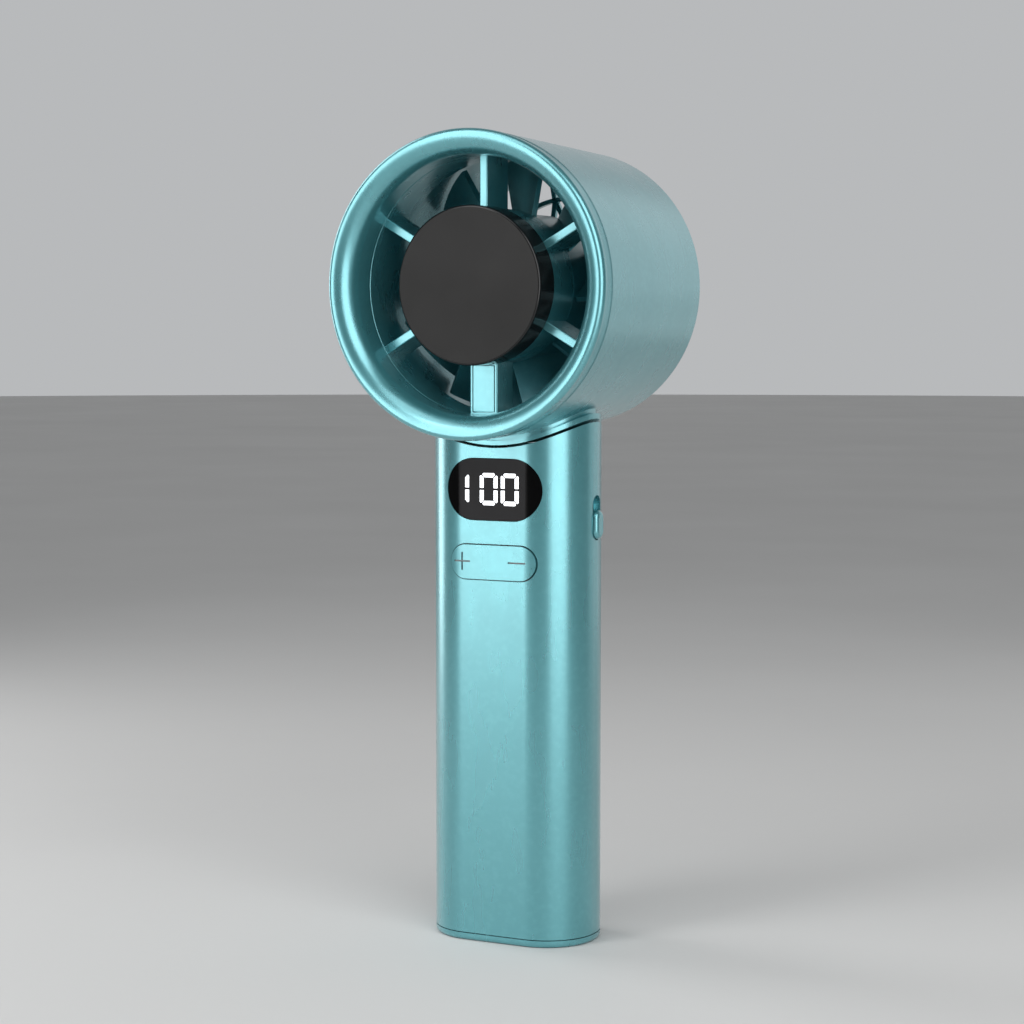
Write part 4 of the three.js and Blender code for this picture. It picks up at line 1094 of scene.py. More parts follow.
@dataclass
class SpokeFrame:
    """The rim, hub and six spokes that carry the motor and the cooling plate."""

    places: Places
    rim_bore: float = 27.4
    hub_radius: float = 16.6
    hub_wall: float = 1.0
    spoke_front: float = -16.4
    spoke_width: float = 1.9
    wire_width: float = 6.6
    wire_back: float = -9.0
    floor_front: float = -9.0
    floor_back: float = -7.4
    cover_width: float = 5.4
    cover_depth: float = 0.9
    count: int = 6

    def build(self) -> Object:
        """Builds the frame.

        Returns:
            The frame.
        """
        p = self.places
        nib = 0.12
        front, back = self.spoke_front, p.frame_back
        rim = p.lathe.turn(
            "spoke_frame",
            [
                (self.rim_bore + nib, p.frame_front),
                (p.frame_radius, p.frame_front),
                (p.frame_radius, back),
                (self.rim_bore + nib, back),
                (self.rim_bore, back - nib),
                (self.rim_bore, p.frame_front + nib),
            ],
        )
        inner = self.hub_radius - self.hub_wall
        hub = p.lathe.turn(
            "hub",
            [
                (inner, front),
                (self.hub_radius - nib, front),
                (self.hub_radius, front + nib),
                (self.hub_radius, back - nib),
                (self.hub_radius - nib, back),
                (inner, back),
                (inner, self.floor_back),
                (2.6, self.floor_back),
                (2.6, self.floor_front),
                (inner, self.floor_front),
            ],
        )
        return clean(merge_into(rim, [hub, *self._thin_spokes(), self._wire_spoke()]))

    def _spoke(self, name: str, width: float, back: float) -> Object:
        """A spoke standing up from the hub.

        Args:
            name: The object's name.
            width: Its width in millimetres.
            back: Its rear edge's Y in millimetres.

        Returns:
            The spoke.
        """
        foot = self.hub_radius - self.hub_wall / 2
        length = self.rim_bore + 0.5 - foot
        middle = self.places.axis + foot + length / 2
        depth = back - self.spoke_front
        size = (width, depth, length)
        return block(name, size, (0.0, self.spoke_front + depth / 2, middle), Axis.Z, 0.28, 4)

    def _thin_spokes(self) -> list[Object]:
        """The five thin spokes."""
        first = self._spoke("thin spoke", self.spoke_width, self.places.frame_back)
        copies = turned_copies(first, self.count, self.places.axis_point)
        wide = self.count // 2
        bpy.data.objects.remove(copies.pop(wide - 1))
        return [first, *copies]

    def _wire_spoke(self) -> Object:
        """The wide bottom spoke, with a rebate that its cover lies in."""
        spoke = self._spoke("wire spoke", self.wire_width, self.wire_back)
        turn(spoke, math.pi, Axis.Y, self.places.axis_point)
        low = self.places.axis - self.rim_bore + 0.4
        high = self.places.axis - self.hub_radius - 0.2
        rebate = block(
            "rebate",
            (self.cover_width, 2 * self.cover_depth, high - low),
            (0.0, self.spoke_front, (low + high) / 2),
            Axis.Y,
            0.3,
            4,
        )
        return carve(spoke, rebate)

    def cover(self) -> Object:
        """The flat cover over the wires in the wide spoke.

        Returns:
            The cover.
        """
        play = 0.15
        low = self.places.axis - self.rim_bore + 0.4 + play
        high = self.places.axis - self.hub_radius - 0.2 - play
        thick = self.cover_depth - 0.1
        cover = block(
            "wire_cover",
            (self.cover_width - 2 * play, thick, high - low),
            (0.0, self.spoke_front + thick / 2, (low + high) / 2),
            Axis.Y,
            0.25,
            4,
        )
        return clean(soften(cover, 0.12, 2))


@dataclass
class CoolingPlate:
    """The round cooling plate: a matt face, a small rounded edge and a polished side."""

    places: Places
    edge: float = 0.6
    wall: float = 1.0

    def build(self, face: Material, side: Material) -> Object:
        """Turns the plate and gives its face and side their finishes.

        Args:
            face: The matt material of the face.
            side: The polished material of the edge and side.

        Returns:
            The plate.
        """
        p = self.places
        radius = p.plate_radius
        flat = radius - self.edge
        profile: Profile = [
            (0.4, p.plate_front),
            (flat * 0.5, p.plate_front),
            (flat - 0.12, p.plate_front),
        ]
        profile += arc((flat, p.plate_front + self.edge), (self.edge, self.edge), -90, 0, 8)
        profile += [
            (radius, p.plate_back - 0.2),
            (radius - 0.2, p.plate_back),
            (radius - self.wall, p.plate_back),
            (radius - self.wall, p.plate_front + self.wall + 0.2),
            (0.4, p.plate_front + self.wall + 0.2),
        ]
        plate = p.lathe.turn("chill_plate", profile, closed=False, capped=(True, True))
        plate.data.materials.append(side)
        plate.data.materials.append(face)
        limit = (p.plate_front + 0.02) * MM
        mark_faces(plate, lambda centre, normal: centre.y < limit and normal.y < -0.9)
        plate.active_material_index = 1
        with editing(plate, "FACE"):
            bpy.ops.object.material_slot_assign()
        return plate


@dataclass
class Guard:
    """The intake guard at the back: a skirt, a closed middle and a zigzag of bars between them."""

    places: Places
    front: float = 25.4
    back: float = 27.2
    bar: float = 1.1
    bays: int = 18
    centre_radius: float = 13.4
    skirt_wall: float = 1.4
    ring_half: float = 0.5

    def build(self) -> Object:
        """Builds the guard.

        Returns:
            The guard.
        """
        p = self.places
        radius = p.frame_radius
        ring = (self.centre_radius + radius + 0.15) / 2 - 1
        nib = 0.25
        skirt = p.lathe.turn(
            "rear_guard",
            [
                (radius - self.skirt_wall, p.guard_front),
                (radius, p.guard_front),
                (radius, p.guard_back - nib),
                (radius - nib, p.guard_back),
                (radius - self.skirt_wall + nib, p.guard_back),
                (radius - self.skirt_wall, p.guard_back - nib),
            ],
        )
        middle = p.lathe.turn(
            "guard middle",
            [
                (0.4, self.back - 0.5),
                (self.centre_radius - 3.0, self.back - 0.5),
                (self.centre_radius - 2.4, self.back),
                (self.centre_radius - 0.3, self.back),
                (self.centre_radius, self.back - 0.3),
                (self.centre_radius, self.front),
                (0.4, self.front),
            ],
            closed=False,
            capped=(True, True),
        )
        hoop = p.lathe.turn(
            "guard hoop",
            [
                (ring - self.ring_half, self.front + 0.15),
                (ring - self.ring_half + 0.15, self.front),
                (ring + self.ring_half - 0.15, self.front),
                (ring + self.ring_half, self.front + 0.15),
                (ring + self.ring_half, self.back - 0.15),
                (ring + self.ring_half - 0.15, self.back),
                (ring - self.ring_half + 0.15, self.back),
                (ring - self.ring_half, self.back - 0.15),
            ],
        )
        return clean(merge_into(skirt, [middle, hoop, *self._bars(ring, radius)]))

    def _bars(self, ring: float, radius: float) -> list[Object]:
        """The zigzag and the straight bars of all bays.

        Args:
            ring: The radius of the hoop that the zigzag's tips meet.
            radius: The skirt's outer radius.

        Returns:
            The bars.
        """
        half = math.pi / self.bays
        foot = self.centre_radius - 0.4
        low = Vector((foot * math.sin(half), 0.0, foot * math.cos(half)))
        top = Vector((0.0, 0.0, ring))
        bays = [
            self._bar(low, top, 0.2),
            self._bar(Vector((-low.x, 0.0, low.z)), top, 0.2),
            self._bar(top, Vector((0.0, 0.0, radius - 0.85)), 0.0),
        ]
        first = turn(merge_into(bays[0], bays[1:]), half, Axis.Y, self.places.axis_point)
        return [first, *turned_copies(first, self.bays, self.places.axis_point)]

    def _bar(self, start: Vector, end: Vector, inset: float) -> Object:
        """One straight bar of the guard.

        Args:
            start: One end, from the head's axis, in millimetres.
            end: The other end.
            inset: How much shallower than the guard it is at each face.

        Returns:
            The bar.
        """
        run = end - start
        middle = (start + end) / 2
        depth = self.back - self.front - 2 * inset
        centre = (middle.x, (self.front + self.back) / 2, self.places.axis + middle.z)
        bar = block("guard bar", (self.bar, depth, run.length), centre, Axis.Z, 0.22, 3)
        return turn(bar, math.atan2(run.x, run.z), Axis.Y, Vector(centre) * MM)


@dataclass
class Impeller:
    """The rotor's hub with its rounded nose, and nine twisted blades."""

    places: Places
    hub_radius: float = 15.9
    nose_start: float = 10.4
    wall: float = 1.4
    blades: int = 9
    chord: float = 17.5
    camber: float = 16.0
    thickness: float = 1.15
    root_lean: float = 38.0
    tip_lean: float = 56.0
    middle: float = 3.4

    def build(self) -> Object:
        """Builds the hub and the blades.

        Returns:
            The impeller.
        """
        p = self.places
        back = p.blades_back
        front = p.blades_front
        inner = self.hub_radius - self.wall
        nose = arc((0.0, self.nose_start), (self.hub_radius, back - self.nose_start), 90, 0, 16)
        profile = [(max(radius, 0.3), y) for radius, y in nose]
        profile += [
            (self.hub_radius, front + 0.3),
            (self.hub_radius - 0.3, front),
            (inner, front),
            (inner, self.nose_start - 0.9),
            (0.3, self.nose_start - 0.9),
        ]
        hub = p.lathe.turn("fan_blades", profile, closed=False, capped=(True, True))
        first = self._blade()
        return clean(merge_into(hub, [first, *turned_copies(first, self.blades, p.axis_point)]), 45.0)

    def _blade(self) -> Object:
        """One blade: a sheet that is bent, twisted, thickened and trimmed to the duct.

        Returns:
            The blade.
        """
        p = self.places
        root = self.hub_radius - 2.0
        length = p.blade_tip + 1.5 - root
        deselect()
        bpy.ops.mesh.primitive_grid_add(x_subdivisions=18, y_subdivisions=14, size=1.0)
        sheet = bpy.context.object
        sheet.name = "blade"
        bpy.ops.transform.resize(value=(self.chord * MM, length * MM, 1.0))
        settle(sheet)
        self._deform(sheet, "BEND", "Y", math.radians(self.camber * 2))
        twist = math.radians(self.tip_lean - self.root_lean)
        self._deform(sheet, "TWIST", "Y", twist)
        thicken = sheet.modifiers.new("Thickness", "SOLIDIFY")
        thicken.thickness = self.thickness * MM
        thicken.offset = 0.0
        bpy.ops.object.modifier_apply(modifier=thicken.name)
        lean = math.radians(90.0 - (self.root_lean + self.tip_lean) / 2)
        turn(sheet, math.pi / 2, Axis.X, (0.0, 0.0, 0.0))
        turn(sheet, -lean, Axis.Z, (0.0, 0.0, 0.0))
        sheet.location = Vector((0.0, self.middle, p.axis + root + length / 2)) * MM
        settle(sheet)
        barrel = p.lathe.turn(
            "barrel",
            arc((p.blade_tip - 3.5, p.blades_front + 3.4), (3.5, 3.5), -90, 0, 8)
            + arc((p.blade_tip - 2.0, p.blades_back - 3.6), (2.0, 2.0), 0, 90, 6),
            closed=False,
            capped=(True, True),
        )
        carve(sheet, barrel, "INTERSECT")
        return clean(soften(clean(sheet), 0.22, 2, 55.0), 45.0)

    @staticmethod
    def _deform(sheet: Object, method: str, axis: str, angle: float) -> None:
        """Bends or twists a sheet.

        Args:
            sheet: The sheet.
            method: BEND or TWIST.
            axis: The axis that it acts round.
            angle: The whole angle in radians.
        """
        shape = sheet.modifiers.new("Shape", "SIMPLE_DEFORM")
        shape.deform_method = method
        shape.deform_axis = axis
        shape.angle = angle
        pick(sheet)
        bpy.ops.object.modifier_apply(modifier=shape.name)


# ---- Handle ----


@dataclass
class Grip:
    """The handle's sleeve, its foot, and the oblong holes in it."""

    places: Places
    wall: float = 1.6
    corner: float = 11.5
    corner_steps: int = 40
    seam_radius: float = 34.75
    display: tuple[float, float] = (23.0, 13.6)
    rocker: tuple[float, float] = (21.0, 7.95)
    slot: tuple[float, float] = (4.4, 9.8)
    slot_rise: float = 93.25
    socket: tuple[float, float] = (9.5, 3.8)
    foot_height: float = 1.6
    foot_bevel: float = 1.0

    def prism(self, name: str, inset: float, bottom: float, top: float) -> Object:
        """A block with the handle's outline.

        Args:
            name: The object's name.
            inset: How far it's drawn in all round.
            bottom: Its lowest Z in millimetres.
            top: Its highest Z.

        Returns:
            The block.
        """
        p = self.places
        size = (p.width - 2 * inset, p.depth - 2 * inset, top - bottom)
        centre = (0.0, 0.0, (bottom + top) / 2)
        return block(name, size, centre, Axis.Z, self.corner - inset, self.corner_steps)

    def oblong(self, name: str, size: tuple[float, float], z: float, near: float, far: float) -> Object:
        """A bar with round ends that runs along Y.

        Args:
            name: The object's name.
            size: Its width and height.
            z: The height of its middle.
            near: Its front Y.
            far: Its back Y.

        Returns:
            The bar.
        """
        width, height = size
        centre = (0.0, (near + far) / 2, z)
        return block(name, (width, far - near, height), centre, Axis.Y, height / 2, 24)

    def sleeve(self) -> Object:
        """Builds the sleeve with its curved top and its holes.

        Returns:
            The sleeve.
        """
        p = self.places
        top = p.axis - 12.0
        sleeve = self.prism("handle_skin", 0.0, p.sleeve_bottom, top)
        carve(sleeve, self.prism("core", self.wall, p.sleeve_bottom - 1, top + 1))
        carve(sleeve, p.lathe.disc("seam", self.seam_radius, -p.depth, p.depth, 288))
        outside = -p.depth
        carve(sleeve, self.oblong("display hole", self.display, p.display_z, outside, 0.0))
        carve(sleeve, self.oblong("rocker hole", self.rocker, p.rocker_z, outside, 0.0))
        width, height = self.slot
        right = p.width / 2
        slot = block(
            "slot", (8.0, width, height), (right, p.slot_y, self.slot_rise), Axis.X, width / 2, 20
        )
        carve(sleeve, slot)
        carve(sleeve, self.oblong("socket hole", self.socket, p.socket_z, 0.0, p.depth))
        clean(sleeve)
        return clean(soften(sleeve, 0.28, 3, 50.0))

    def foot(self) -> Object:
        """Builds the foot with its bevelled underside and the two sunk screw holes.

        Returns:
            The foot.
        """
        p = self.places
        foot = self.prism("handle_foot", 0.0, 0.0, self.foot_height)
        bottom = 0.01 * MM
        mark_edges(foot, lambda a, b: a.z < bottom and b.z < bottom)
        with editing(foot, "EDGE"):
            bpy.ops.mesh.bevel(offset=self.foot_bevel * MM, segments=5, profile=0.55, affect="EDGES")
        collar = self.prism("collar", self.wall + 0.15, self.foot_height - 0.4, 5.0)
        carve(collar, self.prism("collar core", self.wall + 1.55, self.foot_height - 1, 6.0))
        tools = []
        for side in (-1, 1):
            deselect()
            bpy.ops.mesh.primitive_cylinder_add(
                vertices=SMALL_ROUND,
                radius=1.85 * MM,
                depth=3.8 * MM,
                location=(side * p.screw_x * MM, 0.0, 0.0),
            )
            tool = bpy.context.object
            settle(tool)
            tools.append(tool)
        for tool in tools:
            carve(foot, tool)
        clean(foot)
        return clean(merge_into(foot, [collar]))


@dataclass
class Display:
    """The smoked window and the lit digits in it."""

    places: Places
    grip: Grip
    play: float = 0.12
    recess: float = 0.12
    digit_height: float = 6.95
    digit_width: float = 4.27
    stroke: float = 0.92
    waist: float = 0.5
    shoulder: float = 0.52
    top_inset: float = 0.68
    flat_cut: float = 0.42
    upright_cut: float = 0.56
    nip: float = 0.2
    digit_rise: float = 0.07

    def window(self) -> Object:
        """Builds the window, flush with the sleeve and curved like it.

        Returns:
            The window.
        """
        p = self.places
        width, height = self.grip.display
        window = self.grip.prism("display_window", self.recess, p.display_z - 9, p.display_z + 9)
        carve(window, self.grip.prism("back", 2.4, p.display_z - 10, p.display_z + 10))
        size = (width - 2 * self.play, height - 2 * self.play)
        carve(window, self.grip.oblong("outline", size, p.display_z, -p.depth, -2.0), "INTERSECT")
        clean(window)
        return clean(soften(window, 0.22, 3, 50.0))

    def digits(self) -> Object:
        """Builds the three seven-segment figures.

        Returns:
            The lit segments as one piece.
        """
        figures = ((-8.05, (1, 2)), (-1.13, range(6)), (3.95, range(6)))
        segments = [self._segment(x, which) for x, on in figures for which in on]
        joined = merge_into(segments[0], segments[1:])
        joined.name = "lit_digits"
        return clean(joined)

    def _segment(self, x: float, which: int) -> Object:
        """One segment of a figure.

        Args:
            x: The middle of the figure.
            which: Its number: 0 top, 1 upper right, 2 lower right, 3 bottom, 4 lower left, 5 upper left.

        Returns:
            The segment.
        """
        across = (self.digit_width - self.stroke) / 2
        up = (self.digit_height - self.stroke) / 2
        tall = self.digit_height / 2 - self.shoulder - self.waist / 2
        rise = (tall + self.waist) / 2
        if which in (0, 3):
            size = (self.digit_width - 2 * self.top_inset, self.stroke)
            side, end = 0, 1 if which == 0 else -1
            dx, dz = 0.0, end * up
        else:
            size = (self.stroke, tall)
            side, end = 1 if which in (1, 2) else -1, 1 if which in (1, 5) else -1
            dx, dz = side * across, end * rise
        centre = (x + dx, self.places.display_z + self.digit_rise + dz)
        return self._bar(size, centre, (side, end))

    def _bar(
        self, size: tuple[float, float], centre: tuple[float, float], outer: tuple[int, int]
    ) -> Object:
        """A flat bar with nipped corners, its outer corners cut back further.

        Args:
            size: Its width and height.
            centre: Its middle.
            outer: The side and the end that its outer corners lie at; 0 means both.

        Returns:
            The bar.
        """
        thick = 0.2
        face = -self.places.depth / 2 + self.recess - 0.02
        bar = block("segment", (size[0], thick, size[1]), (centre[0], face + thick / 2, centre[1]))
        middle = Vector((centre[0], 0.0, centre[1])) * MM

        def is_outer(a: Vector, b: Vector) -> bool:
            """Whether an edge runs along Y at an outer corner."""
            along = abs(a.x - b.x) < MERGE and abs(a.z - b.z) < MERGE
            beside = outer[0] == 0 or (a.x - middle.x) * outer[0] > 0
            return along and beside and (a.z - middle.z) * outer[1] > 0

        def is_inner(a: Vector, b: Vector) -> bool:
            """Whether an edge runs along Y at a corner that faces the next segment."""
            along = abs(a.x - b.x) < MERGE and abs(a.z - b.z) < MERGE
            near_end = (a.z - middle.z) * outer[1]
            if outer[0] == 0:
                return along and near_end < 0
            return along and near_end > 0 and (a.x - middle.x) * outer[0] < -size[0] * MM * 0.45

        inner_cut = self.upright_cut if outer[0] else self.flat_cut
        mark_edges(bar, is_outer)
        with editing(bar, "EDGE"):
            bpy.ops.mesh.bevel(offset=self.nip * MM, segments=1, affect="EDGES")
        mark_edges(bar, is_inner)
        with editing(bar, "EDGE"):
            bpy.ops.mesh.bevel(offset=inner_cut * MM, segments=1, affect="EDGES")
        return bar


@dataclass
class Rocker:
    """The speed rocker, with a plus and a minus cut into its face."""

    places: Places
    grip: Grip
    gap: float = 0.25
    mark: float = 3.9
    minus: float = 4.2
    stroke: float = 0.36
    depth: float = 0.35
    plus_x: float = -7.4
    minus_x: float = 5.8
    mark_rise: float = 0.1
    edge: float = 0.45
    thickness: float = 2.6
    stock: float = 6.0
    flange_inset: tuple[float, float] = (2.2, 3.0)
    flange_lap: float = 0.9
    lug: tuple[float, float] = (2.6, 1.2)
    lug_rise: float = 2.2

    def build(self, face: Material, groove: Material) -> Object:
        """Builds the rocker.

        Args:
            face: The material of the rocker.
            groove: The darker material inside the plus and the minus, which paints shade into them.

        Returns:
            The rocker.
        """
        p = self.places
        z = p.rocker_z
        proud = -p.depth / 2 - p.rocker_front
        cap = self.grip.prism("speed_rocker_key", -proud, z - self.stock, z + self.stock)
        past = self.stock + 1
        carve(cap, self.grip.prism("behind", self.thickness, z - past, z + past))
        width, height = self.grip.rocker
        size = (width - 2 * self.gap, height - 2 * self.gap)
        carve(cap, self.grip.oblong("outline", size, z, -p.depth, -2.0), "INTERSECT")
        clean(cap)
        soften(cap, self.edge, 4, 50.0)
        for tool in self._marks(z):
            carve(cap, tool)
        clean(cap)
        self._paint_shade_in_marks(cap, z, face, groove)
        inner = self._inside(z)
        return clean(merge_into(cap, [inner]))

    def _paint_shade_in_marks(self, cap: Object, z: float, face: Material, groove: Material) -> None:
        """Paints shade onto the walls and floors of the two marks by giving them the darker material.

        Args:
            cap: The rocker's cap with the marks cut in.
            z: The height of the rocker's middle in millimetres.
            face: The material of the rocker.
            groove: The material inside the marks, painted shade.
        """
        high = z + self.mark_rise
        slack = 0.02

        def is_sunk(centre: Vector, _normal: Vector) -> bool:
            """Whether a face lies inside one of the marks."""
            x, y, tall = (value / MM for value in centre)
            if abs(tall - high) > self.mark / 2 + slack or y > -self.places.depth / 2 + 1.0:
                return False
            if y < self._surface(x) + slack:
                return False
            in_plus = abs(x - self.plus_x) < self.mark / 2 + slack
            in_minus = abs(x - self.minus_x) < self.minus / 2 + slack
            return in_plus or in_minus

        # The faces inside the grooves get the near-black material as painted shade.
        paint(cap, face)
        cap.data.materials.append(groove)
        mark_faces(cap, is_sunk)
        cap.active_material_index = 1
        with editing(cap, "FACE"):
            bpy.ops.object.material_slot_assign()


    def _marks(self, z: float) -> list[Object]:
        """The cutters of the plus and the minus."""
        y = self.places.rocker_front
        deep = 2 * self.depth
        flat = (self.mark, deep, self.stroke)
        upright = (self.stroke, deep * 1.04, self.mark)
        high = z + self.mark_rise
        plus_y = self._surface(self.plus_x)
        return [
            block("plus flat", flat, (self.plus_x, plus_y, high), Axis.Y),
            block("plus upright", upright, (self.plus_x, plus_y, high), Axis.Y),
            block("minus", (self.minus, deep, self.stroke), (self.minus_x, y, high), Axis.Y),
        ]

    def _surface(self, x: float) -> float:
        """The Y of the rocker's face at x, in millimetres."""
        p = self.places
        past = max(abs(x) - (p.width / 2 - self.grip.corner), 0.0)
        radius = self.grip.corner + (-p.depth / 2 - p.rocker_front)
        return -(p.depth / 2 - self.grip.corner) - math.sqrt(radius**2 - past**2)

    def _inside(self, z: float) -> Object:
        """The flange behind the sleeve's wall and the two lugs on the pin."""
        p = self.places
        width, height = self.grip.rocker
        past = self.stock + 1
        flange = self.grip.prism("flange", self.flange_inset[0], z - self.stock, z + self.stock)
        carve(flange, self.grip.prism("flange back", self.flange_inset[1], z - past, z + past))
        outline = (width + self.flange_lap, height + self.flange_lap)
        carve(flange, self.grip.oblong("flange outline", outline, z, -p.depth, -2.0), "INTERSECT")
        front = -p.depth / 2 + self.thickness
        lugs = [
            block(
                "lug",
                (self.lug[0], p.rocker_back - front, self.lug[1]),
                (0.0, (front + p.rocker_back) / 2, z + side * self.lug_rise),
                Axis.X,
                0.4,
                3,
            )
            for side in (-1, 1)
        ]
        return merge_into(flange, lugs)


@dataclass
class SlideKnob:
    """The power slider's knob and the shutter that moves behind its slot."""

    places: Places
    grip: Grip
    width: float = 3.8
    height: float = 6.3
    end_play: float = 0.25
    shutter_thickness: float = 0.9

    def build(self) -> Object:
        """Builds the knob and its shutter.

        Returns:
            The knob.
        """
        p = self.places
        bottom = self.grip.slot_rise - self.grip.slot[1] / 2 + self.end_play
        middle = bottom + self.height / 2
        left = p.shutter_left + 1.0
        knob = block(
            "slide_knob",
            (p.knob_right - left, self.width, self.height),
            ((p.knob_right + left) / 2, p.slot_y, middle),
            Axis.X,
            self.width / 2,
            20,
        )
        clean(knob)
        soften(knob, 0.9, 5, 50.0)
        low, high = p.shutter_low, p.shutter_high
        shutter = self.grip.prism("shutter", self.grip.wall + 0.3, low, high)
        right = p.width / 2 - self.grip.wall - 0.3
        keep = block(
            "shutter keep",
            (self.shutter_thickness + 1.0, 6.0, high - low),
            (right - self.shutter_thickness / 2 + 0.5, p.slot_y, (low + high) / 2),
        )
        carve(shutter, keep, "INTERSECT")
        return clean(merge_into(knob, [shutter]))


@dataclass
class FootScrews:
    """The two cross-head screws in the foot's underside."""

    places: Places
    head_radius: float = 1.7
    head_low: float = 0.7
    head_height: float = 1.1
    shank_radius: float = 0.9
    tip: float = 10.7

    def build(self) -> list[Object]:
        """Builds one screw and copies it.

        Returns:
            The left and the right screw.
        """
        right = self._screw(self.places.screw_x)
        right.name = "foot_screw_right"
        left = copy_of(right)
        left.name = "foot_screw_left"
        left.location.x = -2 * self.places.screw_x * MM
        settle(left)
        return [left, right]

    def _screw(self, x: float) -> Object:
        """One screw, standing on its head.

        Args:
            x: Its X in millimetres.

        Returns:
            The screw.
        """
        deselect()
        bpy.ops.mesh.primitive_cylinder_add(
            vertices=SMALL_ROUND,
            radius=self.head_radius * MM,
            depth=self.head_height * MM,
            location=(x * MM, 0.0, (self.head_low + self.head_height / 2) * MM),
        )
        head = bpy.context.object
        settle(head)
        soften(head, 0.3, 3)
        for size in ((1.9, 0.42), (0.42, 1.9)):
            slot = block("cross", (*size, 1.3), (x, 0.0, self.head_low), Axis.Z, 0.15, 2)
            carve(head, slot)
        deselect()
        bpy.ops.mesh.primitive_cylinder_add(
            vertices=SMALL_ROUND // 2,
            radius=self.shank_radius * MM,
            depth=(self.tip - self.head_low - self.head_height) * MM,
            location=(x * MM, 0.0, (self.tip + self.head_low + self.head_height) / 2 * MM),
        )
        shank = bpy.context.object
        settle(shank)
        soften(shank, 0.2, 2)
        return clean(merge_into(head, [shank]))


# ---- Studio ----


@dataclass(frozen=True)
class SoftBox:
    """An upright rectangular light that stands round the fan and faces its axis."""

    name: str
    azimuth: float
    distance: float
    width: float
    height: float
    middle: float
    power: float
    tint: Colour = (1.0, 1.0, 1.0)

    def build(self) -> Object:
        """Adds the light.

        Returns:
            The light's object.
        """
        data = bpy.data.lights.new(self.name, "AREA")
        data.shape = "RECTANGLE"
        data.size = self.width
        data.size_y = self.height
        data.energy = self.power
        data.color = self.tint
        lamp = bpy.data.objects.new(self.name, data)
        bpy.context.scene.collection.objects.link(lamp)
        angle = math.radians(self.azimuth)
        lamp.location = (
            self.distance * math.sin(angle),
            -self.distance * math.cos(angle),
            self.middle,
        )
        aim = Vector((0.0, 0.0, 0.09)) - lamp.location
        lamp.rotation_euler = aim.to_track_quat("-Z", "Y").to_euler()
        lamp.visible_camera = False
        return lamp


@dataclass
class Studio:
    """A pale floor, soft light and the camera."""

    azimuth: float = 26.705
    elevation: float = 4.459
    distance: float = 540.4
    aim_height: float = 93.885
    aim_side: float = -1.311
    focal: float = 86.27
    surround_dark: float = 0.1
    surround_pale: float = 0.5
    surround_turn: tuple[float, float] = (0.25, 0.98)
    surround_tint: Colour = (0.96, 0.98, 1.0)
    high_light: float = 0.7
    high_spread: float = 45.0
    high_tilt: float = 32.0
    high_turn: float = -12.0

    def build(self) -> None:
        """Builds floor, lights, world and camera."""
        self._floor()
        self._lights()
        self._world()
        self._camera()

    def _floor(self) -> None:
        """Adds the floor."""
        deselect()
        bpy.ops.mesh.primitive_circle_add(vertices=96, radius=4.0, fill_type="NGON")
        floor = bpy.context.object
        floor.name = "studio_floor"
        with editing(floor, "FACE"):
            bpy.ops.mesh.select_all(action="SELECT")
            bpy.ops.mesh.normals_make_consistent(inside=False)
        paint(floor, StudioFloor("studio floor").material())

    def _lights(self) -> None:
        """Adds the soft boxes and one broad light from high in front."""
        boxes = (
            SoftBox("front box", -28.0, 0.46, 0.17, 0.55, 0.26, 0.96),
            SoftBox("key box", 52.0, 0.42, 0.34, 0.55, 0.26, 1.6),
            SoftBox("rim box right", 150.0, 0.44, 0.38, 0.5, 0.24, 0.22),
            SoftBox("rim box left", -95.0, 0.44, 0.18, 0.55, 0.26, 1.0),
        )
        for lamp in boxes:
            lamp.build()
        data = bpy.data.lights.new("high soft light", "SUN")
        data.energy = self.high_light
        data.angle = math.radians(self.high_spread)
        lamp = bpy.data.objects.new("high soft light", data)
        lamp.rotation_euler = (math.radians(self.high_tilt), 0.0, math.radians(self.high_turn))
        bpy.context.scene.collection.objects.link(lamp)

    def _world(self) -> None:
        """Sets a plain surround, pale behind the fan and darker in front of it."""
        world = bpy.data.worlds.new("studio surround")
        world.use_nodes = True
        tree = world.node_tree
        place = tree.nodes.new("ShaderNodeTexCoord")
        facing = tree.nodes.new("ShaderNodeVectorMath")
        facing.operation = "DOT_PRODUCT"
        turn_back = math.radians(self.azimuth)
        facing.inputs[1].default_value = (-math.sin(turn_back), math.cos(turn_back), 0.0)
        share = tree.nodes.new("ShaderNodeMapRange")
        share.interpolation_type = "SMOOTHSTEP"
        share.inputs["From Min"].default_value = self.surround_turn[0]
        share.inputs["From Max"].default_value = self.surround_turn[1]
        share.inputs["To Min"].default_value = self.surround_dark
        share.inputs["To Max"].default_value = self.surround_pale
        tree.links.new(place.outputs["Generated"], facing.inputs[0])
        tree.links.new(facing.outputs["Value"], share.inputs["Value"])
        ground = tree.nodes["Background"]
        ground.inputs["Color"].default_value = (*self.surround_tint, 1.0)
        tree.links.new(share.outputs["Result"], ground.inputs["Strength"])
        bpy.context.scene.world = world
        bpy.context.scene.view_settings.view_transform = "Standard"

    def _camera(self) -> None:
        """Adds the camera."""
        turn = math.radians(self.azimuth)
        tilt = math.radians(self.elevation)
        right = Vector((math.cos(turn), math.sin(turn), 0.0))
        ahead = Vector(
            (-math.sin(turn) * math.cos(tilt), math.cos(turn) * math.cos(tilt), -math.sin(tilt))
        )
        aim = Vector((0.0, 0.0, self.aim_height)) + right * self.aim_side
        data = bpy.data.cameras.new("camera")
        data.sensor_width = 36.0
        data.lens = self.focal
        data.clip_start = 0.01
        data.clip_end = 50.0
        camera = bpy.data.objects.new("camera", data)
        bpy.context.scene.collection.objects.link(camera)
        camera.location = (aim - ahead * self.distance) * MM
        camera.rotation_euler = ahead.to_track_quat("-Z", "Y").to_euler()
        bpy.context.scene.camera = camera


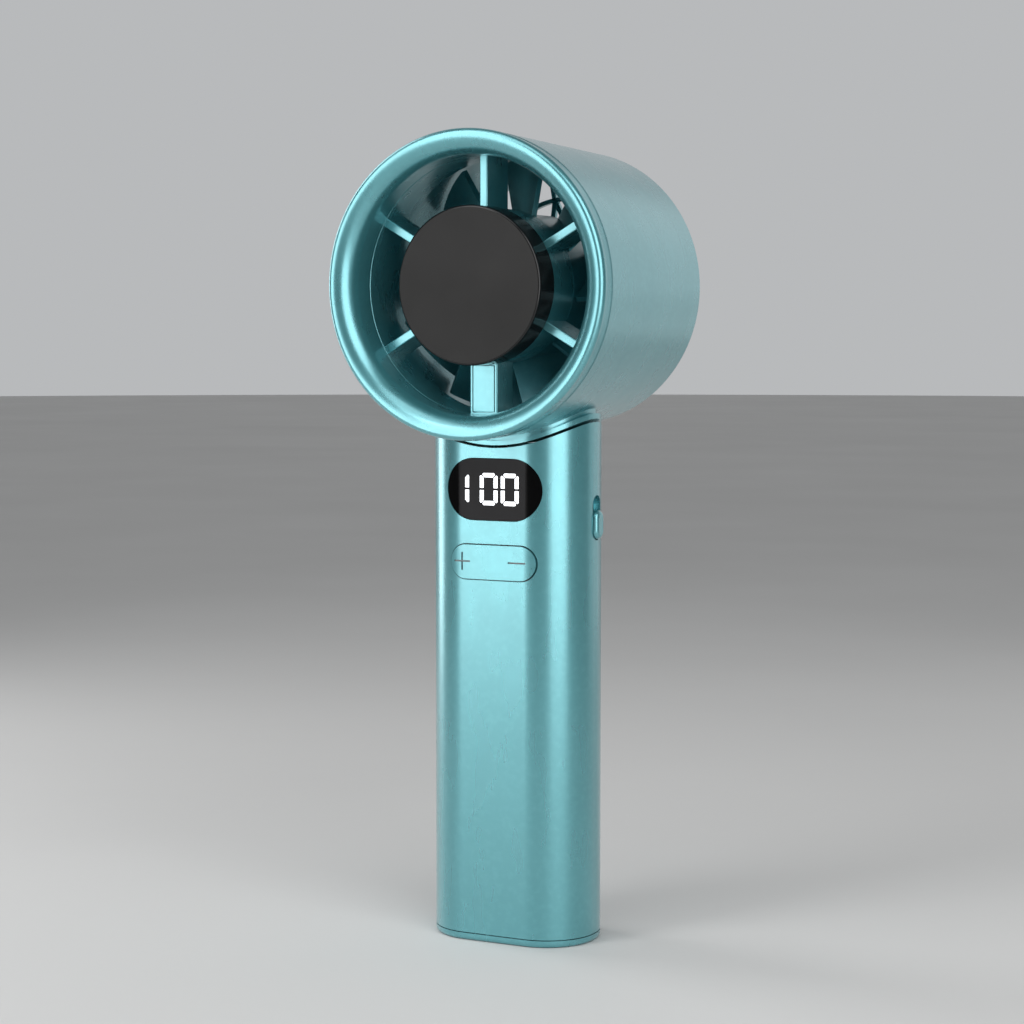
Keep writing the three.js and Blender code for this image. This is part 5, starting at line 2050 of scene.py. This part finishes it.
def dress_cad_nodes(frame: dict, paints: Paints) -> None:
    """Gives every CAD node the finish of its material slot.

    Args:
        paints: The finishes.
    """
    finishes = paints.by_slot()
    for part in frame["record"]["subparts"]:
        node = frame["nodes"][part["node"]]
        material = finishes[part["material_slot"]]
        if not node.material_slots:
            node.data.materials.append(material)
        for slot in node.material_slots:
            slot.material = material


def main() -> None:
    """Builds the fan's pieces in order, then the studio."""
    logging.basicConfig(level=logging.INFO, format="%(name)s: %(message)s")
    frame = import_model()
    paints = Paints()
    dress_cad_nodes(frame, paints)
    places = Places()

    hand_over(MouthRing(places).build(), Body.HOUSING, "shell", paints.shell, "front_ring")
    hand_over(Drum(places).build(), Body.HOUSING, "shell", paints.shell, "drum_shell")
    spokes = SpokeFrame(places)
    hand_over(spokes.build(), Body.HOUSING, "shell", paints.shell, "guide_frame")
    hand_over(spokes.cover(), Body.HOUSING, "shell", paints.shell, "channel_cover")
    plate = CoolingPlate(places).build(paints.plate, paints.plate_edge)
    hand_over(plate, Body.HOUSING, "plate", paints.plate, "cooling_plate")
    hand_over(Guard(places).build(), Body.HOUSING, "shell", paints.shell, "rear_grille")
    hand_over(Impeller(places).build(), Body.ROTOR, "blade", paints.blade, "impeller")

    grip = Grip(places)
    hand_over(grip.sleeve(), Body.HOUSING, "shell", paints.shell, "handle_sleeve")
    hand_over(grip.foot(), Body.HOUSING, "shell", paints.shell, "base_cap")
    display = Display(places, grip)
    hand_over(display.window(), Body.HOUSING, "lens", paints.window, "display_lens")
    hand_over(display.digits(), Body.HOUSING, "lens", paints.segment)
    # paints.groove is painted shade for the grooves of the plus and the minus.
    rocker = Rocker(places, grip).build(paints.shell, paints.groove)
    hand_over(rocker, Body.ROCKER, "shell", paints.shell, "rocker_button")
    hand_over(SlideKnob(places, grip).build(), Body.SLIDER, "shell", paints.shell, "slider_knob")
    left, right = FootScrews(places).build()
    hand_over(left, Body.HOUSING, "steel", paints.steel, "base_screw_left")
    hand_over(right, Body.HOUSING, "steel", paints.steel, "base_screw_right")

    Studio().build()


if __name__ == "__main__":
    main()
